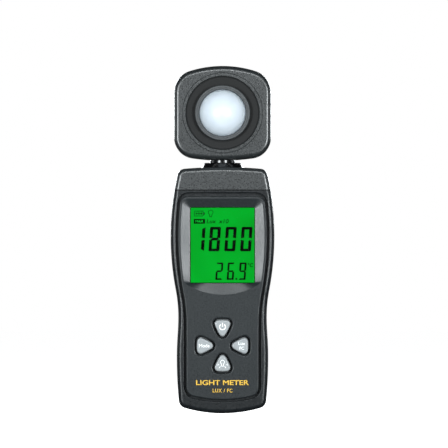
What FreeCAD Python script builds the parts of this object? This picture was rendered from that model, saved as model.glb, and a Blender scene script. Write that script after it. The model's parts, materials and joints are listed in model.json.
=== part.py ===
"""Handheld light meter with a swivelling sensor head, in millimetres.

The meter stands upright along +Z with its face towards -Y. The origin is at the middle of the base of its
bounding box. A casing of two covers, a face panel and a shoulder cap holds the display, the circuit board, the
keys and three AAA cells. The sensor head turns on a hollow shaft in the shoulder cap.
"""

import FreeCAD, Part
import math
import os

from FreeCAD import Vector

os.makedirs("parts", exist_ok=True)

# ---- driving dimensions ----------------------------------------------------------------------------------

# Casing, seen from the front. The side is an S-curve between a lower bulge, a waist and an upper bulge.
SEAM_Z = 118.8
SHOULDER_Z = 131.0
SHOULDER_CROWN_R = 240.0
LOWER_HALF, LOWER_Z = 24.3, 30.0
WAIST_HALF, WAIST_Z = 23.5, 51.4
UPPER_HALF, UPPER_Z = 27.6, 94.3
FOOT_R = 72.0
FOOT_BULGE_R = 260.0
FOOT_CORNER_R = 4.6
SHOULDER_CORNER_R = 4.4

# Casing, front to back.
FRONT_Y = -12.5
PART_LINE_Y = 2.6
BACK_Y = 18.0
WALL = 2.1
FRONT_EDGE_R = 2.4
BACK_EDGE_R = 4.2
SEAM_GAP, SEAM_JOIN = 0.5, 0.06
SEAM_SIDE_D, SEAM_FRONT_D = 0.35, 1.6
PART_GROOVE_W, PART_GROOVE_D = 0.3, 0.35
SKIRT_GAP, SKIRT_WALL = 0.12, 1.2

# Pocket in the front cover, and the face panel that sits in it with a shadow gap all round.
POCKET_FLOOR_Y = -10.0
POCKET_FLOOR_T = 1.3
POCKET_LOW_HALF, POCKET_LOW_Z = 20.5, 47.0
POCKET_HIGH_HALF, POCKET_HIGH_Z = 24.85, 94.0
POCKET_TOP_Z = 117.3
POCKET_FOOT_Z = 6.2
POCKET_FOOT_R = 66.0
POCKET_CORNER_R = 6.2
SHADOW_GAP = 1.3
PANEL_TOP_GAP = 1.9
PANEL_Y = -12.8
PANEL_EDGE_R = 0.5
POCKET_EDGE_R = 0.4

# Display: the sloped recess in the panel, the clear window, the glass, the light guide and their frame.
VIEW_HALF, VIEW_LOW_Z, VIEW_HIGH_Z = 17.3, 69.2, 109.7
RECESS_RIM = 1.3
RECESS_LOW_Z, RECESS_FOOT_R = 63.2, 36.5
RECESS_FLOOR_Y = -11.6
WINDOW_T, WINDOW_EDGE = 1.1, 1.2
GLASS_Y, GLASS_T = -8.6, 1.8
LIGHT_Y, LIGHT_T = -6.7, 2.2
FRAME_WALL = 1.0

# Keys: four rounded triangles that point at the middle of a cross.
KEY_CROSS_Z = 36.1
KEY_TIP_R, KEY_BASE_R, KEY_CENTRE_R = 5.9, 13.45, 10.05
KEY_HALF = 4.7
KEY_SIDE_BULGE, KEY_BASE_BULGE = 0.55, 0.55
KEY_CORNER_R = 1.9
KEY_TOP_Y = -13.7
KEY_WELL_GAP = 1.15
KEY_WELL_LIP_R = 0.5
KEY_EDGE_R = 0.8
KEY_HOLE_GAP, KEY_FLANGE = 0.3, 0.75
KEYS = (("power_key", 90.0), ("mode_key", 180.0), ("unit_key", 0.0), ("backlight_key", 270.0))

# Circuit board.
BOARD_Y, BOARD_T = -4.2, 1.6
BOARD_BACK_Y = BOARD_Y + BOARD_T
BOARD_LOW_HALF, BOARD_HIGH_HALF = 15.3, 18.8
BOARD_LOW_Z, BOARD_STEP_Z, BOARD_HIGH_Z = 12.0, 67.2, 114.8
BOARD_SCREWS = ((12.4, 17.2), (-12.4, 17.2), (12.4, 59.0), (-12.4, 59.0))
PILL_Y, PILL_T, PILL_R = BOARD_Y - 1.75, 0.55, 2.2

# Case screws, entered from the back.
CASE_SCREWS = ((22.0, 113.4), (-22.0, 113.4), (18.6, 63.4), (-18.6, 63.4))
CASE_BOSS_R, CASE_COLUMN_R = 2.7, 3.2
CASE_WELL_R = 2.45
CASE_WELL_FLOOR_Y = 11.5

# Battery bay and its sliding door.
CELL_R, CELL_LENGTH = 5.15, 43.4
CELL_PITCH, CELL_Y = 10.9, 9.1
CELL_XS = (-CELL_PITCH, 0.0, CELL_PITCH)
CELL_UPS = (1, -1, 1)
BAY_HALF, BAY_LOW_Z, BAY_HIGH_Z = 16.7, 6.9, 58.6
BAY_FLOOR_Y, BAY_WALL, BAY_SIDE_WALL = 3.7, 1.4, 3.2
SPRING_ROOM, SPRING_R, SPRING_WIRE_R, SPRING_TURNS = 6.75, 2.9, 0.3, 3.5
PLATE_T = 0.4
TERMINALS = tuple((x, z) for x in CELL_XS for z in (BAY_LOW_Z, BAY_HIGH_Z - PLATE_T))
DOOR_HALF, DOOR_TOP_Z = 17.6, 60.4
DOOR_SKIN_Y, DOOR_INNER_Y = 15.8, 14.5
DOOR_GAP, LINER_T = 0.15, 0.1
RAIL_OUT, RAIL_LOW_Y, RAIL_HIGH_Y = 18.6, 13.4, 14.2
TONGUE_HALF = 6.0

# Rating label on the back.
LABEL_HALF, LABEL_LOW_Z, LABEL_HIGH_Z, LABEL_DEPTH = 15.0, 72.0, 104.0, 0.35

# Swivel: the axis is vertical, through the middle of the head's depth.
AXIS_Y = 2.0
COLLAR_BASE_R, COLLAR_TOP_R, COLLAR_TOP_Z = 12.1, 9.8, 133.4
NECK_R, SHAFT_R, SHAFT_BORE_R = 7.0, 5.5, 3.0
RUNNING_GAP = 0.05
SHAFT_FOOT_Z = 120.9
STOP_CHAMBER_R, STOP_TAB_R = 8.7, 8.3
STOP_TAB_DEG, STOP_BLOCK_DEG = 44.0, 44.0
STOP_LOW_Z, STOP_HIGH_Z = 124.6, 127.2

# Sensor head.
HEAD_HALF, HEAD_LOW_Z, HEAD_HIGH_Z = 25.85, 134.8, 185.0
HEAD_FRONT_Y, HEAD_BACK_Y = -9.0, 13.0
HEAD_TOP_R, HEAD_TOP_CORNER_R = 58.0, 12.0
HEAD_FOOT_R, HEAD_FOOT_CORNER_R = 113.0, 11.0
HEAD_WALL = 2.0
HEAD_FRONT_EDGE_R, HEAD_BACK_EDGE_R = 2.6, 5.5
EYE_Z = 159.9
BEAD_OUTER_R, BEAD_INNER_R, BEAD_RISE = 21.5, 19.6, 0.35
DISH_EDGE_R, DISH_INNER_R = 18.9, 14.9
RING_R, RING_BORE_R = 14.75, 12.2
DOME_T, DOME_FLANGE_R, DOME_FLANGE_T = 1.5, 13.4, 1.2
DOME_TIP_Y = -18.0
BOARD_PROPS = ((9.5, 150.4), (-9.5, 150.4), (9.5, 169.4), (-9.5, 169.4))
HEAD_SCREWS = ((16.6, 174.2), (-16.6, 174.2), (16.6, 145.4), (-16.6, 145.4))

# Sensor lead, in two lengths that meet on the swivel's axis.
LEAD_R = 1.3
LEAD_MEET_Z, LEAD_PLUG_Z = 122.0, 108.6


# ---- small helpers ---------------------------------------------------------------------------------------


def point(x, z, y=0.0):
    return Vector(x, y, z)


def line(a, b):
    return Part.makeLine(a, b)


def arc(a, middle, b):
    return Part.Arc(a, middle, b).toShape()


def box(x0, x1, y0, y1, z0, z1):
    return Part.makeBox(x1 - x0, y1 - y0, z1 - z0, Vector(x0, y0, z0))


def rod_y(x, z, r, y0, y1):
    """A cylinder along +Y."""
    return Part.makeCylinder(r, y1 - y0, Vector(x, y0, z), Vector(0, 1, 0))


def rod_z(r, z0, z1, x=0.0, y=AXIS_Y):
    """A cylinder along +Z, on the swivel's axis unless told otherwise."""
    return Part.makeCylinder(r, z1 - z0, Vector(x, y, z0), Vector(0, 0, 1))


def eye_disc(r, y0, y1):
    """A cylinder along +Y on the sensor's optical axis."""
    return rod_y(0, EYE_Z, r, y0, y1)


def prism(wire, y0, y1):
    """The closed outline, drawn at Y = 0, as a solid from y0 to y1."""
    face = Part.Face(wire)
    face.translate(Vector(0, y0, 0))
    return face.extrude(Vector(0, y1 - y0, 0))


def fuse(shapes):
    shapes = list(shapes)
    return shapes[0].multiFuse(shapes[1:]).removeSplitter()


def cut(shape, tools):
    return shape.cut(list(tools))


def mirrored(shape):
    return shape.mirror(Vector(0, 0, 0), Vector(1, 0, 0))


def edges_at_y(solid, y, tolerance=1e-3):
    """The edges that lie wholly in the plane at this Y."""
    found = []
    for edge in solid.Edges:
        bounds = edge.BoundBox
        if abs(bounds.YMin - y) < tolerance and abs(bounds.YMax - y) < tolerance:
            found.append(edge)
    return found


def corner_edges(solid, corners, tolerance=0.3):
    """The edges along Y that stand at these (x, z) corners."""
    found = []
    for edge in solid.Edges:
        bounds = edge.BoundBox
        if bounds.YLength < 0.1 or bounds.XLength > 1e-3 or bounds.ZLength > 1e-3:
            continue
        middle = bounds.Center
        if any(math.hypot(middle.x - x, middle.z - z) < tolerance for x, z in corners):
            found.append(edge)
    return found


def outline_of(solid, y):
    """The outer wire of the flat face that lies at this Y, moved to Y = 0."""
    for face in solid.Faces:
        bounds = face.BoundBox
        if bounds.YLength < 1e-3 and abs(bounds.YMin - y) < 1e-3:
            wire = face.OuterWire.copy()
            wire.translate(Vector(0, -y, 0))
            return wire
    raise ValueError("no flat face there")


def export(name, shape):
    """Writes one sub-part, after a check that each solid in it is sound."""
    solids = shape.Solids
    if not solids or not all(s.isValid() and s.Volume > 0 for s in solids):
        raise ValueError("bad solid in " + name)
    kept = solids[0] if len(solids) == 1 else Part.makeCompound(solids)
    kept.exportStep("parts/" + name + ".step")
    print(name, len(solids), round(sum(s.Volume for s in solids), 1))


# ---- outlines --------------------------------------------------------------------------------------------


def s_curve(low_half, low_z, high_half, high_z, low_share):
    """Two tangent arcs between two heights where the side runs straight up.

    low_share is the lower arc's radius as a share of both radii. Returns the turn and the two arcs, each as
    (centre x, centre z, radius, +1 for a bulge or -1 for a waist).
    """
    rise, step = high_z - low_z, high_half - low_half
    turn = 2 * math.atan(abs(step) / rise)
    total = rise / math.sin(turn)
    low_r = total * low_share
    high_r = total - low_r
    side = 1.0 if step > 0 else -1.0
    low = (low_half + side * low_r, low_z, low_r, -side)
    high = (high_half - side * high_r, high_z, high_r, side)
    return turn, low, high


def grown(circle, grow):
    """The same arc after the outline has moved outwards by grow."""
    x, z, r, outward = circle
    return x, z, r + outward * grow, outward


def side_x(circle, z):
    x, centre_z, r, outward = circle
    return x + outward * math.sqrt(r * r - (z - centre_z) ** 2)


def side_arc(circle, z0, z1):
    return arc(*[point(side_x(circle, z), z) for z in (z0, (z0 + z1) / 2, z1)])


def join_height(turn, low):
    """Where the lower arc of an S-curve hands over to the upper one."""
    return low[1] + low[2] * math.sin(turn)


def rise(r, x):
    """How far an arc has climbed at x from its lowest point."""
    return r - math.sqrt(r * r - x * x)


LOWER_SIDE = s_curve(LOWER_HALF, LOWER_Z, WAIST_HALF, WAIST_Z, 0.58)
UPPER_SIDE = s_curve(WAIST_HALF, WAIST_Z, UPPER_HALF, UPPER_Z, 0.33)
POCKET_SIDE = s_curve(POCKET_LOW_HALF, POCKET_LOW_Z, POCKET_HIGH_HALF, POCKET_HIGH_Z, 0.35)
FOOT_BULGE = (LOWER_HALF - FOOT_BULGE_R, LOWER_Z, FOOT_BULGE_R, 1.0)


def rounded_prism(half_edges, middle_edges, corners, y0, y1):
    """A symmetric outline as a solid. Each corner is (x, z, radius) on the right side."""
    left = [mirrored(edge) for edge in half_edges]
    wire = Part.Wire(Part.__sortEdges__([*middle_edges, *half_edges, *left]))
    block = prism(wire, y0, y1)
    for x, z, r in corners:
        block = block.makeFillet(r, corner_edges(block, [(x, z), (-x, z)]))
    return block


def casing_block(grow=0.0, y0=FRONT_Y, y1=BACK_Y):
    """The casing's outline up to the shoulder, grown outwards by grow, with its four corners rounded."""
    foot_bulge = grown(FOOT_BULGE, grow)
    lower_bulge, waist_low = grown(LOWER_SIDE[1], grow), grown(LOWER_SIDE[2], grow)
    waist_high, upper_bulge = grown(UPPER_SIDE[1], grow), grown(UPPER_SIDE[2], grow)
    lower_join = join_height(LOWER_SIDE[0], lower_bulge)
    upper_join = join_height(UPPER_SIDE[0], waist_high)
    foot_r, crown_r = FOOT_R + grow, SHOULDER_CROWN_R + grow
    foot_z, top_z = 4.0, SHOULDER_Z - 1.0
    for _ in range(10):
        foot_x, top_x = side_x(foot_bulge, foot_z), side_x(upper_bulge, top_z)
        foot_z = rise(foot_r, foot_x) - grow
        top_z = SHOULDER_Z + grow - rise(crown_r, top_x)
    right = [
        side_arc(foot_bulge, foot_z, LOWER_Z),
        side_arc(lower_bulge, LOWER_Z, lower_join),
        side_arc(waist_low, lower_join, WAIST_Z),
        side_arc(waist_high, WAIST_Z, upper_join),
        side_arc(upper_bulge, upper_join, top_z),
    ]
    base = arc(point(-foot_x, foot_z), point(0, -grow), point(foot_x, foot_z))
    crown = arc(point(-top_x, top_z), point(0, SHOULDER_Z + grow), point(top_x, top_z))
    corners = [(foot_x, foot_z, FOOT_CORNER_R + grow), (top_x, top_z, SHOULDER_CORNER_R + grow)]
    return rounded_prism(right, [base, crown], corners, y0, y1)


def shield_block(grow, foot_low_z, foot_r, foot_corner_r, top_z, top_corner_r, y0, y1):
    """The face pocket's shape: straight at the keys, an S-curve out to the display, and an arc-shaped foot."""
    turn, low, high = POCKET_SIDE
    low, high = grown(low, grow), grown(high, grow)
    join = join_height(turn, low)
    half = POCKET_LOW_HALF + grow
    foot_z = foot_low_z + rise(foot_r, half)
    top_x = side_x(high, top_z)
    if foot_z < POCKET_LOW_Z:
        right = [line(point(half, foot_z), point(half, POCKET_LOW_Z)), side_arc(low, POCKET_LOW_Z, join)]
        right.append(side_arc(high, join, top_z))
    else:
        for _ in range(10):
            half = side_x(high, foot_z)
            foot_z = foot_low_z + rise(foot_r, half)
        right = [side_arc(high, foot_z, top_z)]
    base = arc(point(-half, foot_z), point(0, foot_low_z), point(half, foot_z))
    top = line(point(-top_x, top_z), point(top_x, top_z))
    corners = [(half, foot_z, foot_corner_r), (top_x, top_z, top_corner_r)]
    return rounded_prism(right, [base, top], corners, y0, y1)


def head_block(grow, y0, y1):
    """The head's outline: upright sides, a domed top and a gentler base, with large round corners."""
    half = HEAD_HALF + grow
    top_z = HEAD_HIGH_Z + grow - rise(HEAD_TOP_R + grow, half)
    foot_z = HEAD_LOW_Z - grow + rise(HEAD_FOOT_R + grow, half)
    right = [line(point(half, foot_z), point(half, top_z))]
    base = arc(point(-half, foot_z), point(0, HEAD_LOW_Z - grow), point(half, foot_z))
    crown = arc(point(-half, top_z), point(0, HEAD_HIGH_Z + grow), point(half, top_z))
    corners = [(half, top_z, HEAD_TOP_CORNER_R + grow), (half, foot_z, HEAD_FOOT_CORNER_R + grow)]
    return rounded_prism(right, [base, crown], corners, y0, y1)


def rectangle_block(half, low_z, high_z, r, y0, y1):
    """A rectangle with round corners, centred on x = 0."""
    block = box(-half, half, y0, y1, low_z, high_z)
    return block.makeFillet(r, [e for e in block.Edges if e.BoundBox.YLength > 1e-3])


def crossing(circle_a, circle_b, near):
    """The crossing of two circles in the XZ plane that lies nearest to a point."""
    (ca, ra), (cb, rb) = circle_a, circle_b
    between = cb - ca
    d = between.Length
    along = (ra * ra - rb * rb + d * d) / (2 * d)
    height = math.sqrt(ra * ra - along * along)
    axis = Vector(between).normalize()
    side = Vector(-axis.z, 0, axis.x)
    found = [ca + axis * along + side * height, ca + axis * along - side * height]
    return min(found, key=lambda p: (p - near).Length)


def key_block(angle_deg, grow, y0, y1):
    """A rounded triangle with its tip towards the cross's middle, grown outwards by grow."""
    tip = point(KEY_TIP_R - 2.2, 0)
    low = point(KEY_BASE_R - 0.35, -KEY_HALF)
    high = point(KEY_BASE_R - 0.35, KEY_HALF)
    out = Vector(-0.44, 0, 0.9)
    bulged = [
        (tip, (tip + low) * 0.5 + Vector(out.x, 0, -out.z) * KEY_SIDE_BULGE, low),
        (low, (low + high) * 0.5 + Vector(KEY_BASE_BULGE, 0, 0), high),
        (high, (high + tip) * 0.5 + out * KEY_SIDE_BULGE, tip),
    ]
    circles = []
    for points in bulged:
        curve = arc(*points).Curve
        circles.append((curve.Center, curve.Radius + grow))
    corners = [crossing(circles[i - 1], circles[i], near) for i, near in enumerate((tip, low, high))]
    sides = []
    for i, (_, middle, _) in enumerate(bulged):
        centre, r = circles[i]
        top = centre + (middle - centre).normalize() * r
        sides.append(arc(corners[i], top, corners[(i + 1) % 3]))
    block = prism(Part.Wire(sides), y0, y1)
    block = block.makeFillet(KEY_CORNER_R + grow, corner_edges(block, [(c.x, c.z) for c in corners]))
    block.rotate(Vector(0, 0, 0), Vector(0, -1, 0), angle_deg)
    block.translate(Vector(0, 0, KEY_CROSS_Z))
    return block


# ---- casing ----------------------------------------------------------------------------------------------


def casing_body():
    """The casing as one solid, with its front and back edges rounded."""
    body = casing_block()
    body = body.makeFillet(FRONT_EDGE_R, edges_at_y(body, FRONT_Y))
    return body.makeFillet(BACK_EDGE_R, edges_at_y(body, BACK_Y))


def casing_inside(shrink=0.0, front_y=FRONT_Y + WALL):
    """The space inside the walls, made smaller by shrink on every side."""
    back_y = BACK_Y - WALL - shrink
    space = casing_block(-WALL - shrink, front_y + shrink, back_y)
    return space.makeFillet(BACK_EDGE_R - WALL - shrink / 2, edges_at_y(space, back_y))


def cover_inside():
    return casing_inside(0.0, POCKET_FLOOR_Y + POCKET_FLOOR_T)


def pocket_block():
    foot_r = POCKET_FOOT_R
    r = POCKET_CORNER_R
    return shield_block(0.0, POCKET_FOOT_Z, foot_r, r, POCKET_TOP_Z, r, FRONT_Y - 1, POCKET_FLOOR_Y)


def on_pocket(edge, pocket):
    """Whether an edge of the casing's flat front belongs to the pocket's outline."""
    middle = edge.valueAt((edge.FirstParameter + edge.LastParameter) / 2)
    pocket_z = (POCKET_FOOT_Z + POCKET_TOP_Z) / 2
    inward = 0.995
    probe = Vector(middle.x * inward, FRONT_Y + 0.5, pocket_z + (middle.z - pocket_z) * inward)
    return pocket.isInside(probe, 0.01, True)


def part_groove(outline, *groove_y):
    """A shallow groove round an outline, where its two halves meet."""
    y = groove_y[0] if groove_y else PART_LINE_Y
    y0, y1 = y - PART_GROOVE_W / 2, y + PART_GROOVE_W / 2
    return cut(outline(1.0, y0, y1), [outline(-PART_GROOVE_D, y0 - 1, y1 + 1)])


def seam_groove():
    """The groove where the shoulder cap meets the covers, shallow at the sides and back and deep at the front."""
    z0, z1 = SEAM_Z - SEAM_GAP / 2, SEAM_Z + SEAM_GAP / 2
    back_y = BACK_Y - SEAM_SIDE_D
    core = casing_block(-SEAM_SIDE_D, FRONT_Y + SEAM_FRONT_D, back_y)
    core = core.makeFillet(BACK_EDGE_R - SEAM_SIDE_D, edges_at_y(core, back_y))
    return cut(box(-60, 60, -60, 60, z0, z1), [core])


def make_front_cover(body):
    shell = body.common(box(-60, 60, -60, PART_LINE_Y, -5, SEAM_Z - SEAM_JOIN / 2))
    pocket = pocket_block()
    shell = cut(shell, [cover_inside(), pocket, seam_groove(), part_groove(casing_block)])
    rim = [e for e in edges_at_y(shell, FRONT_Y) if on_pocket(e, pocket)]
    shell = shell.makeFillet(POCKET_EDGE_R, rim)
    posts = [rod_y(x, z, CASE_BOSS_R, POCKET_FLOOR_Y + 1, PART_LINE_Y - 0.6) for x, z in CASE_SCREWS]
    posts += [rod_y(x, z, 2.2, POCKET_FLOOR_Y + 1, BOARD_Y) for x, z in BOARD_SCREWS]
    shell = fuse([shell, *posts])
    edge = WINDOW_EDGE + 0.15
    half, low, high = VIEW_HALF + edge, VIEW_LOW_Z - edge, VIEW_HIGH_Z + edge
    holes = [box(-half, half, POCKET_FLOOR_Y - 1, POCKET_FLOOR_Y + 3, low, high)]
    holes += [key_block(a, KEY_HOLE_GAP, POCKET_FLOOR_Y - 1, POCKET_FLOOR_Y + 3) for _, a in KEYS]
    holes += [rod_y(x, z, 1.05, POCKET_FLOOR_Y + 2, PART_LINE_Y) for x, z in CASE_SCREWS]
    holes += [rod_y(x, z, 0.85, POCKET_FLOOR_Y + 2, BOARD_Y + 1) for x, z in BOARD_SCREWS]
    return cut(shell, holes)


def both_sides(x0, x1, y0, y1, z0, z1):
    return [box(x0, x1, y0, y1, z0, z1), box(-x1, -x0, y0, y1, z0, z1)]


def door_boxes(gap):
    """The door's skin, inner face, tongue and two rails, each grown by gap and open towards the foot."""
    low, high = -20.0, BAY_HIGH_Z - 0.3 + gap
    inner = BAY_HALF - 0.3
    rail_x, rail_y = inner - 1.0, RAIL_LOW_Y - gap
    tongue_top_z = DOOR_TOP_Z + 1.8 + gap
    return [
        box(-DOOR_HALF - gap, DOOR_HALF + gap, DOOR_SKIN_Y - gap, BACK_Y + 5, low, DOOR_TOP_Z + gap),
        box(-inner - gap, inner + gap, DOOR_INNER_Y - gap, DOOR_SKIN_Y + 0.1, low, high),
        box(-TONGUE_HALF - gap, TONGUE_HALF + gap, DOOR_INNER_Y - gap, DOOR_SKIN_Y - 0.1, 50, tongue_top_z),
        *both_sides(rail_x - gap, inner + gap, rail_y, DOOR_SKIN_Y + 0.1, low, high),
        *both_sides(rail_x - gap, RAIL_OUT + gap, rail_y, RAIL_HIGH_Y + gap, low, high),
    ]


def make_rear_cover(body):
    shell = body.common(box(-60, 60, PART_LINE_Y, 60, -5, SEAM_Z - SEAM_JOIN / 2))
    shell = cut(shell, [cover_inside(), seam_groove(), part_groove(casing_block)])
    side = BAY_SIDE_WALL
    bay = box(
        -BAY_HALF - side,
        BAY_HALF + side,
        BAY_FLOOR_Y - BAY_WALL,
        BACK_Y - 1.0,
        BAY_LOW_Z - BAY_WALL,
        BAY_HIGH_Z + BAY_WALL,
    )
    columns = [rod_y(x, z, CASE_COLUMN_R, PART_LINE_Y - 0.55, BACK_Y - 1) for x, z in CASE_SCREWS]
    shell = fuse([shell, bay, *[column.common(body) for column in columns]])
    front_wall = cut(casing_block(1.0, -5.0, PART_LINE_Y), [casing_inside(0.1, -8.0)])
    tools = [front_wall, box(-BAY_HALF, BAY_HALF, BAY_FLOOR_Y, BACK_Y + 5, BAY_LOW_Z, BAY_HIGH_Z)]
    tools += door_boxes(DOOR_GAP)
    tools += [rod_y(x, z, CASE_WELL_R, CASE_WELL_FLOOR_Y, 60) for x, z in CASE_SCREWS]
    tools += [rod_y(x, z, 1.45, PART_LINE_Y - 2, 60) for x, z in CASE_SCREWS]
    tools += [terminal_slot(x, z) for x, z in TERMINALS]
    tools.append(rectangle_block(LABEL_HALF, LABEL_LOW_Z, LABEL_HIGH_Z, 2.0, BACK_Y - LABEL_DEPTH, BACK_Y + 1))
    return cut(shell, tools)


def make_rating_label():
    y = BACK_Y - LABEL_DEPTH
    return rectangle_block(LABEL_HALF - 0.2, LABEL_LOW_Z + 0.2, LABEL_HIGH_Z - 0.2, 1.8, y, y + 0.2)


def make_battery_door(body):
    door = fuse([part.common(body) for part in door_boxes(0.0)])
    ribs = [box(-9, 9, BACK_Y - 0.55, 60, z, z + 1.1) for z in [42.0 + 2.6 * i for i in range(5)]]
    half, tip, top = 4.2, 31.5, 37.0
    sides = [point(-half, top), point(half, top), point(0, tip), point(-half, top)]
    arrow = prism(Part.makePolygon(sides), BACK_Y - 0.5, BACK_Y + 1)
    return cut(door, [*ribs, arrow])


def make_door_liner():
    """The card that insulates the cells from the door."""
    return box(-14, 14, DOOR_INNER_Y - LINER_T, DOOR_INNER_Y, 14, 52)


def skirt(gap, wall, front_y, z0, z1):
    """A band that follows the casing's wall, gap inside it and wall thick."""
    outer = casing_inside(gap, front_y)
    inner = casing_inside(gap + wall, front_y)
    return cut(outer, [inner]).common(box(-60, 60, -60, 60, z0, z1))


def collar_block():
    base_z = 130.4
    cone = Part.makeCone(
        COLLAR_BASE_R, COLLAR_TOP_R, COLLAR_TOP_Z - base_z, Vector(0, AXIS_Y, base_z), Vector(0, 0, 1)
    )
    rim = [e for e in cone.Edges if e.BoundBox.ZMin > COLLAR_TOP_Z - 0.01]
    return cone.makeFillet(0.9, rim)


def ring_seat():
    return rod_z(NECK_R - 0.1, COLLAR_TOP_Z - 1.25, COLLAR_TOP_Z + 1)


def shaft_bore():
    return rod_z(SHAFT_R + RUNNING_GAP, STOP_LOW_Z - 3, COLLAR_TOP_Z + 1)


def make_neck_collar():
    return cut(collar_block(), [ring_seat(), shaft_bore()])


def make_shoulder_cap(body):
    """The top moulding, with the shaft's bore, the stop chamber and a skirt inside the covers."""
    shell = body.common(box(-60, 60, -60, 60, SEAM_Z + SEAM_JOIN / 2, 200))
    shell = cut(shell, [casing_inside(0.0), seam_groove()])
    front_y = POCKET_FLOOR_Y + POCKET_FLOOR_T
    low_skirt = skirt(SKIRT_GAP, SKIRT_WALL, front_y, SEAM_Z - 2.0, SEAM_Z + 0.5)
    high_skirt = skirt(-0.3, SKIRT_WALL + SKIRT_GAP + 0.3, front_y, SEAM_Z + SEAM_GAP / 2, SEAM_Z + 2.5)
    front_web = box(-24.0, 24.0, FRONT_Y + WALL - 0.3, front_y + 1.0, SEAM_Z + SEAM_GAP / 2, SEAM_Z + 1.4)
    boss = rod_z(11.0, STOP_LOW_Z, 130.6)
    cap = fuse([shell, low_skirt, high_skirt, front_web.common(body), boss])
    chamber = rod_z(STOP_CHAMBER_R, STOP_LOW_Z - 1, STOP_HIGH_Z)
    chamber = cut(chamber, [sector(STOP_BLOCK_DEG, -90.0, 20.0, STOP_LOW_Z - 2, STOP_HIGH_Z + 1)])
    return cut(cap, [chamber, shaft_bore(), collar_block()])


def sector(spread_deg, towards_deg, r, z0, z1):
    """A wedge about the swivel's axis."""
    start = math.radians(towards_deg - spread_deg / 2)
    middle = math.radians(towards_deg)
    end = math.radians(towards_deg + spread_deg / 2)
    centre = Vector(0, AXIS_Y, z0)
    rim = [centre + Vector(r * math.cos(a), r * math.sin(a), 0) for a in (start, middle, end)]
    wire = Part.Wire([line(centre, rim[0]), arc(*rim), line(rim[2], centre)])
    return Part.Face(wire).extrude(Vector(0, 0, z1 - z0))


# ---- face panel and display ------------------------------------------------------------------------------


def wire_at(block, y_from, y_to):
    wire = outline_of(block, y_from)
    wire.translate(Vector(0, y_to, 0))
    return wire


def make_face_panel():
    """The panel with its display recess, whose sides slope in to the window, and the four key wells."""
    gap = SHADOW_GAP
    foot_r = POCKET_FOOT_R - gap
    r = POCKET_CORNER_R - gap
    top_z = POCKET_TOP_Z - PANEL_TOP_GAP
    panel = shield_block(-gap, POCKET_FOOT_Z + gap, foot_r, r, top_z, r, PANEL_Y, POCKET_FLOOR_Y)
    panel = panel.makeFillet(PANEL_EDGE_R, edges_at_y(panel, PANEL_Y))
    rim_block = shield_block(
        -gap - RECESS_RIM, RECESS_LOW_Z, RECESS_FOOT_R, 3.2, top_z - RECESS_RIM + 0.1, r - RECESS_RIM, -1, 1
    )
    view_block = rectangle_block(VIEW_HALF, VIEW_LOW_Z, VIEW_HIGH_Z, 0.9, -1, 1)
    rim = wire_at(rim_block, -1, PANEL_Y)
    slopes = Part.makeLoft([rim, wire_at(view_block, -1, RECESS_FLOOR_Y)], True, True)
    through = rectangle_block(VIEW_HALF, VIEW_LOW_Z, VIEW_HIGH_Z, 0.9, RECESS_FLOOR_Y - 0.01, POCKET_FLOOR_Y + 1)
    wells = [key_block(a, KEY_WELL_GAP, PANEL_Y - 1, POCKET_FLOOR_Y + 1) for _, a in KEYS]
    panel = cut(panel, [slopes, through, *wells])
    reach = KEY_BASE_R + KEY_WELL_GAP + 1.0
    lips = []
    for edge in edges_at_y(panel, PANEL_Y):
        middle = edge.BoundBox.Center
        if math.hypot(middle.x, middle.z - KEY_CROSS_Z) < reach:
            lips.append(edge)
    return panel.makeFillet(KEY_WELL_LIP_R, lips)


def make_display_window():
    half, low, high = VIEW_HALF + WINDOW_EDGE, VIEW_LOW_Z - WINDOW_EDGE, VIEW_HIGH_Z + WINDOW_EDGE
    return box(-half, half, POCKET_FLOOR_Y, POCKET_FLOOR_Y + WINDOW_T, low, high)


def make_display_glass():
    """Two bonded sheets, the front one shorter so that the contact ledge shows at the top."""
    half = VIEW_HALF + 0.7
    front = box(-half, half, GLASS_Y, GLASS_Y + GLASS_T / 2, VIEW_LOW_Z - 0.7, VIEW_HIGH_Z - 0.3)
    back = box(-half, half, GLASS_Y + GLASS_T / 2, GLASS_Y + GLASS_T, VIEW_LOW_Z - 0.7, VIEW_HIGH_Z + 0.9)
    return fuse([front, back])


def make_backlight():
    half = VIEW_HALF + 0.4
    guide = box(-half, half, LIGHT_Y, LIGHT_Y + LIGHT_T, VIEW_LOW_Z - 0.4, VIEW_HIGH_Z + 0.2)
    lamps = []
    for x in (-8, 8):
        lamps.append(box(x - 1.6, x + 1.6, LIGHT_Y + 0.4, LIGHT_Y + LIGHT_T, VIEW_LOW_Z - 1.0, VIEW_LOW_Z - 0.2))
    return fuse([guide, *lamps])


def make_display_frame():
    half = VIEW_HALF + 0.8
    low, high = VIEW_LOW_Z - 1.1, VIEW_HIGH_Z + 1.0
    outer = box(-half - FRAME_WALL, half + FRAME_WALL, GLASS_Y, BOARD_Y, low - FRAME_WALL, high + FRAME_WALL)
    return cut(outer, [box(-half, half, GLASS_Y - 1, BOARD_Y + 1, low, high)])


def make_contact_strips():
    """Elastomer connectors between the glass's ledge and the board."""
    z0 = VIEW_HIGH_Z + 0.3
    return Part.makeCompound([box(x, x + 14, LIGHT_Y + 0.02, BOARD_Y, z0, z0 + 0.6) for x in (-15.5, 1.5)])


# ---- board, keys, cells ----------------------------------------------------------------------------------


def make_main_board():
    low = box(-BOARD_LOW_HALF, BOARD_LOW_HALF, BOARD_Y, BOARD_Y + BOARD_T, BOARD_LOW_Z, BOARD_STEP_Z)
    high = box(-BOARD_HIGH_HALF, BOARD_HIGH_HALF, BOARD_Y, BOARD_Y + BOARD_T, BOARD_STEP_Z, BOARD_HIGH_Z)
    board = fuse([low, high])
    holes = [rod_y(x, z, 1.25, BOARD_Y - 1, BOARD_Y + 3) for x, z in BOARD_SCREWS]
    return cut(board, holes)


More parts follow.
